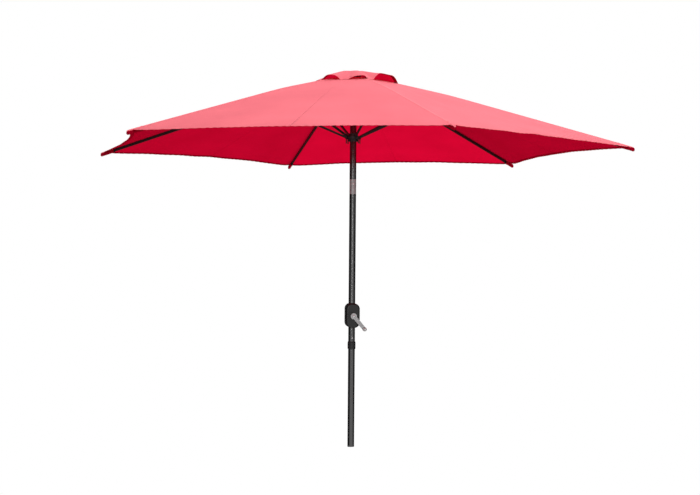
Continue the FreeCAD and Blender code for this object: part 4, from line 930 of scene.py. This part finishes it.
def tape_grid(k, low, high, half, thick, count):
    x = np.linspace(low, high, count)[:, None]
    profile = np.array([-1.0, -0.96, -0.85, -0.4, 0.0, 0.4, 0.85, 0.96, 1.0])[None, :]
    lift = np.array([0.15, 0.7, 1.0, 1.0, 1.0, 1.0, 1.0, 0.7, 0.15])[None, :]
    ripple = 0.12 * thick * np.sin(x / 0.0016) * np.abs(profile) ** 3
    points = seam_surface(k, x, profile * half * np.ones_like(x), lift * thick * 1.1 + ripple + 0.0001)
    uv = np.stack([profile * half * np.ones_like(x), x * np.ones_like(profile)], axis=-1)
    return points, uv


def draw_in_tape(piece):
    """Give a piece its own copy of its mesh."""
    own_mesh(piece)


print("tape width", 2 * TAPE_HALF)

# %% The six tapes and their stitches
for k in range(RIBS):
    points, uv = tape_grid(k, VENT_HOLE + 0.001, TAPE_END, TAPE_HALF, TAPE_THICK, 560)
    tape = grid_sheet(f"seam_tape_{k + 1}", points, uv, False, tape_finish)
    thicken(tape, TAPE_THICK * 0.9)
    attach(tape, f"rib_{k + 1}")
    draw_in_tape(tape)
    seam_length = declare_cloth(tape)[1]
    rows = []
    for offset in (-SEAM_ROW, SEAM_ROW):
        x = np.linspace(VENT_HOLE + 0.004, TAPE_END - 0.002, 400)
        line = seam_surface(k, x, np.full_like(x, offset), TAPE_THICK * 1.1 + 0.0001)
        middle, along = even_spots(line, 0.0042)
        spin = rib_angle(k)
        side = np.array([[-math.sin(spin), math.cos(spin), 0]])
        rows.append((middle, along, normals_up(along, side)))
    stitches = new_piece(f"seam_stitches_{k + 1}", stitch_rows(rows, 0.0032, THREAD), thread)
    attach(stitches, f"rib_{k + 1}")
    draw_in_tape(stitches)
print("seam tape length", round(seam_length, 3), "stitches per rib", sum(len(r[0]) for r in rows))

# %% Stitches round the hems
HEM_ROW, VENT_ROW = 0.017, 0.015  # from the edge to the row of stitches
HEM_LIFT = 0.0001


def hem_row(point, gore, side, inset):
    """The line of hem stitches on half a gore, a set way in from the edge."""
    across = np.linspace(0.004, 1, 300)
    g = (across - 1) if side > 0 else (1 - across)
    fine = np.linspace(0.80, 1.0, 60)
    grid = point(gore, g[None, :], fine[:, None])
    run = steps(grid, 0)
    back = run[-1] - run
    line = along_columns(grid, back, inset)
    inward = grid[-1] - grid[0]
    middle, along = even_spots(line, 0.0044)
    index = np.linspace(0, len(g) - 1, len(middle)).astype(int)
    normal = normals_up(along, inward[index])
    return middle + normal * HEM_LIFT, along, normal


for k in range(RIBS):
    for side, label in ((1, "left"), (-1, "right")):
        gore = k if side > 0 else (k - 1) % RIBS
        rows = [hem_row(canopy_point, gore, side, HEM_ROW), hem_row(vent_point, gore, side, VENT_ROW)]
        stitches = new_piece(f"hem_stitches_{k + 1}_{label}", stitch_rows(rows, 0.0034, THREAD), thread)
        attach(stitches, f"rib_{k + 1}")
        gather(stitches)
print("hem stitches in a half", sum(len(r[0]) for r in rows))

# %% [markdown]
# ## Pockets at the points
# A rib's end pushes into a little sleeve that is sewn to the canopy's point. The sleeve is a flattened
# tube with a rounded nose, made by sweeping a section along the rib and closing it at the tip.

# %% A pocket's shape
POCKET_START, POCKET_END = 1.462, 1.5490
POCKET_NOSE = 0.011
POCKET_HALF_WIDTH, POCKET_HALF_HEIGHT, POCKET_DROP = 0.0088, 0.0118, 0.0004
SQUARENESS = 0.62  # 1 gives an oval section, less a squarer one
RIB_DROP = 0.0096  # from the cloth's underside to a rib's middle
POCKET_ROUND = 0.0103  # the pocket's mean radius, for its cut


def rib_middle(x):
    """Height of a rib's middle under the cloth, near its end."""
    return float(line_height(np.array(x))) - CLOTH - RIB_DROP / math.cos(OUTER_ANGLE)


def pocket_grid(k):
    """Rings of a flattened tube round the rib's end, narrowing to a closed nose."""
    around, rings = 36, 34
    turn = np.linspace(0, 2 * math.pi, around + 1)
    t = np.linspace(0, 1, rings)
    x = POCKET_START + (POCKET_END - POCKET_START) * (1 - (1 - t) ** 1.6)
    past = np.clip((x - (POCKET_END - POCKET_NOSE)) / POCKET_NOSE, 0, 1)
    nose = np.sqrt(np.clip(1 - past ** 2, 0.0004, 1))
    mouth = 1 + 0.12 * np.exp(-(x - POCKET_START) / 0.012)
    points = np.zeros((rings, around + 1, 3))
    across = np.sign(np.cos(turn)) * np.abs(np.cos(turn)) ** SQUARENESS * POCKET_HALF_WIDTH
    up = np.sign(np.sin(turn)) * np.abs(np.sin(turn)) ** SQUARENESS * POCKET_HALF_HEIGHT - POCKET_DROP
    spin = rib_angle(k)
    for i in range(rings):
        slack = 1 + 0.035 * np.sin(5 * turn + i * 0.35) * nose[i]
        y = across * nose[i] * mouth[i] * slack
        z = rib_middle(x[i]) + up * nose[i] * mouth[i] * slack
        points[i, :, 0] = x[i] * math.cos(spin) - y * math.sin(spin)
        points[i, :, 1] = x[i] * math.sin(spin) + y * math.cos(spin)
        points[i, :, 2] = z
    girth = turn[None, :] * POCKET_ROUND * np.ones((rings, 1))
    uv = np.stack([girth, x[:, None] * np.ones((1, around + 1))], axis=-1)
    return points, uv


def weld(mesh, gap=0.00005):
    shape = bmesh.new()
    shape.from_mesh(mesh)
    bmesh.ops.remove_doubles(shape, verts=shape.verts, dist=gap)
    bmesh.ops.recalc_face_normals(shape, faces=shape.faces)
    shape.to_mesh(mesh)
    shape.free()


print("rib's middle at a pocket's mouth", round(rib_middle(POCKET_START), 4))

# %% The six pockets
for k in range(RIBS):
    points, uv = pocket_grid(k)
    pocket = grid_sheet(f"pocket_{k + 1}", points, uv, False, lit_cloth_top, shaded_hem_under)
    weld(pocket.data)
    # Faces of a pocket that point down get the darker crimson, painted shade; the rest get the top's painted
    # light.
    low = np.array([face.normal.z < 0.25 for face in pocket.data.polygons], np.int32)
    pocket.data.polygons.foreach_set("material_index", low)
    thicken(pocket, 0.0009)
    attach(pocket, f"rib_{k + 1}")
    pocket_cut = declare_cloth(pocket)
print("pocket cut", [round(x, 3) for x in pocket_cut])

# %% [markdown]
# ## The crown patch and the corner tacks
# A round patch, sewn over the meeting point of the vent cap's gores, hides the hub's cap. At each of
# the vent cap's corners a dark bar tack holds it down to the canopy.

# %% Crown patch
CROWN = 0.055
CROWN_LIFT, CROWN_EDGE = 0.0016, 0.005


def crown_patch():
    rings, around = 22, 96
    r = np.linspace(0.0, CROWN, rings) ** 0.9 * CROWN ** 0.1
    turn = np.linspace(0, 2 * math.pi, around + 1)
    edge = np.clip((r - (CROWN - CROWN_EDGE)) / CROWN_EDGE, 0, 1)
    pucker = 0.0003 * np.sin(28 * turn)[None, :] * (r / CROWN)[:, None] ** 4
    z = vent_height(r)[:, None] + CROWN_LIFT - CROWN_LIFT / 2 * edge[:, None] ** 2 + pucker
    points = np.stack([r[:, None] * np.cos(turn), r[:, None] * np.sin(turn), z], axis=-1)
    patch = grid_sheet("crown_patch", points, points[..., :2].copy(), True, lit_cloth_top, shaded_vent_under)
    weld(patch.data)
    if sum(face.normal.z for face in patch.data.polygons) < 0:
        patch.data.flip_normals()
    thicken(patch, CLOTH, 1)
    return patch


def ring_stitches(radius, pitch=0.0042):
    turn = np.linspace(0, 2 * math.pi, 400)
    height = float(vent_height(np.array(radius))) + 0.0017
    line = np.stack([radius * np.cos(turn), radius * np.sin(turn), np.full_like(turn, height)], axis=1)
    middle, along = even_spots(line, pitch)
    return middle, along, np.tile([[0.0, 0.0, 1.0]], (len(middle), 1))


crown = crown_patch()
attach(crown, "top")
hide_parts("vent_crown")
crown_cut = declare_cloth(crown)
ring = stitch_rows([ring_stitches(CROWN - 0.006)], 0.0032, THREAD)
crown_thread = new_piece("crown_stitches", ring, thread)
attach(crown_thread, "top")
print("crown cut", [round(x, 3) for x in crown_cut])

# %% Bar tacks at the vent cap's corners
TACK_BEADS, TACK_PITCH, TACK_INSET = 9, 0.0011, 0.004
TACK_LENGTH, TACK_THICK = 0.013, 0.0021
TACK_OUT, TACK_UP = 0.24, 0.97  # the way a tack faces: mostly up, a little outwards
for k in range(RIBS):
    spin = rib_angle(k)
    rows = []
    for n in range(TACK_BEADS):
        x = VENT_EDGE - TACK_INSET - n * TACK_PITCH
        start = np.array([[x * math.cos(spin), x * math.sin(spin), float(vent_height(np.array(x))) + 0.0004]])
        side = np.array([[-math.sin(spin), math.cos(spin), 0.0]])
        normal = np.array([[math.cos(spin) * TACK_OUT, math.sin(spin) * TACK_OUT, TACK_UP]])
        rows.append((start, side, normal))
    tack = new_piece(f"corner_tack_{k + 1}", stitch_rows(rows, TACK_LENGTH, TACK_THICK), dark_thread)
    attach(tack, f"rib_{k + 1}")
print("beads in a tack", TACK_BEADS)

# %% [markdown]
# ## The lift cord
# The cord goes from the spool up inside the pole, over the pulley and down behind the pole to the
# runner. It is a round braid, so its surface is made of strands that cross: a tube whose radius rises
# and falls along two opposite spirals. The last run stretches between the pulley and the runner.

# %% The braid


def cord_material():
    material, tree, shader = plain_material("black_braid")
    spot = tree.nodes.new("ShaderNodeTexCoord").outputs["Object"]
    surface = use_group(tree, grain_group, spot, Grain_scale=2600.0)
    tone = mix_colours(tree, surface.outputs["Grain"], (0.012, 0.012, 0.012), (0.05, 0.05, 0.05))
    tree.links.new(tone, shader.inputs["Base Color"])
    tree.links.new(map_range(tree, surface.outputs["Patches"], 0.6, 0.8), shader.inputs["Roughness"])
    return material


def braided_tube(name, route, radius, pitch=0.006, step=0.0008):
    """A tube along a list of points whose skin is a braid of eight strands."""
    gaps = np.linalg.norm(np.diff(route, axis=0), axis=1)
    run = np.insert(np.cumsum(gaps), 0, 0)
    where = np.linspace(0, run[-1], max(int(run[-1] / step), 8))
    line = np.stack([np.interp(where, run, route[:, c]) for c in range(3)], axis=1)
    ahead = np.gradient(line, axis=0)
    ahead /= np.linalg.norm(ahead, axis=1, keepdims=True)
    first = np.array([1.0, 0, 0])
    up = np.cross(ahead, first)
    up /= np.linalg.norm(up, axis=1, keepdims=True)
    side = np.cross(up, ahead)
    sides = 16
    vertices = []
    for n in range(sides):
        turn = 2 * math.pi * n / sides
        one_way = np.sin(2 * turn + math.pi * where / pitch)
        other_way = np.sin(2 * turn - math.pi * where / pitch)
        spiral = np.abs(one_way * other_way)
        size = radius * (0.88 + 0.12 * spiral)
        vertices.append(line + (side * math.cos(turn) + up * math.sin(turn)) * size[:, None])
    points = np.stack(vertices, axis=1)
    rows = len(where)
    faces = []
    for i in range(rows - 1):
        for n in range(sides):
            a, b = i * sides + n, i * sides + (n + 1) % sides
            faces.append((a, b, b + sides, a + sides))
    faces += [tuple(range(sides))[::-1], tuple(range((rows - 1) * sides, rows * sides))]
    mesh = bpy.data.meshes.new(name)
    mesh.from_pydata(points.reshape(-1, 3).tolist(), [], faces)
    mesh.shade_smooth()
    weld(mesh, 0.000001)
    return new_piece(name, mesh, braid)


braid = cord_material()
print("cord finish", braid.name)

# %% The cord's three runs
CORD = 0.00125
RISE_Y, FALL_Y, TURN = -0.00135, 0.02325, 0.0123
SPOOL_SIDE, SPOOL_Z = 0.0104, 0.743999
TILT_TOP = 1.470048 + 0.014003
PULLEY_Z, RUNNER_EYE = 2.050, 1.7400
CUT = 0.0005  # each run stops this far from where the next begins


def straight(start, end, count=40):
    return np.linspace(np.array(start, float), np.array(end, float), count)


half_turn = np.linspace(math.pi, 0, 40)
over_y = (RISE_Y + FALL_Y) / 2 + TURN * np.cos(half_turn)
over = np.stack([np.zeros(40), over_y, PULLEY_Z + TURN * np.sin(half_turn)], axis=1)
spool_run = straight((SPOOL_SIDE, RISE_Y, SPOOL_Z), (0, RISE_Y, TILT_TOP - CUT))
lower = braided_tube("lower_cord", spool_run, CORD)
up_run = straight((0, RISE_Y, TILT_TOP + CUT), (0, RISE_Y, PULLEY_Z))
upper = braided_tube("upper_cord", np.concatenate([up_run[:-1], over]), CORD)
down_run = straight((0, FALL_Y, PULLEY_Z - 0.0002), (0, FALL_Y, RUNNER_EYE))
fall = braided_tube("fall_cord", down_run, CORD)
for piece, body in ((lower, "pole"), (upper, "top")):
    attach(piece, body)
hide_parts("lift_cord_lower")
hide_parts("lift_cord_upper")
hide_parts("lift_cord_fall")
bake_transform(fall)
print("cord faces", [len(p.data.polygons) for p in (lower, upper, fall)])

# %% [markdown]
# ## The two springs behind the buttons
# The springs give way when their buttons are pressed. Each becomes a piece of its own on its body.


def springy(node_name, piece_name, body):
    source = frame["nodes"][node_name]
    mesh = source.data.copy()
    mesh.transform(source.matrix_world)
    mesh.materials.clear()
    spring = new_piece(piece_name, mesh, bright_steel)
    low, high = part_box(node_name)
    deep = high[1] - low[1]
    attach(spring, body)
    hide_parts(node_name)
    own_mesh(spring)
    return deep


leaf_depth = springy("snap_spring", "snap_leaf", "pole")
coil_depth = springy("tilt_spring", "tilt_coil", "top")
print("spring depths", round(leaf_depth, 4), round(coil_depth, 4))
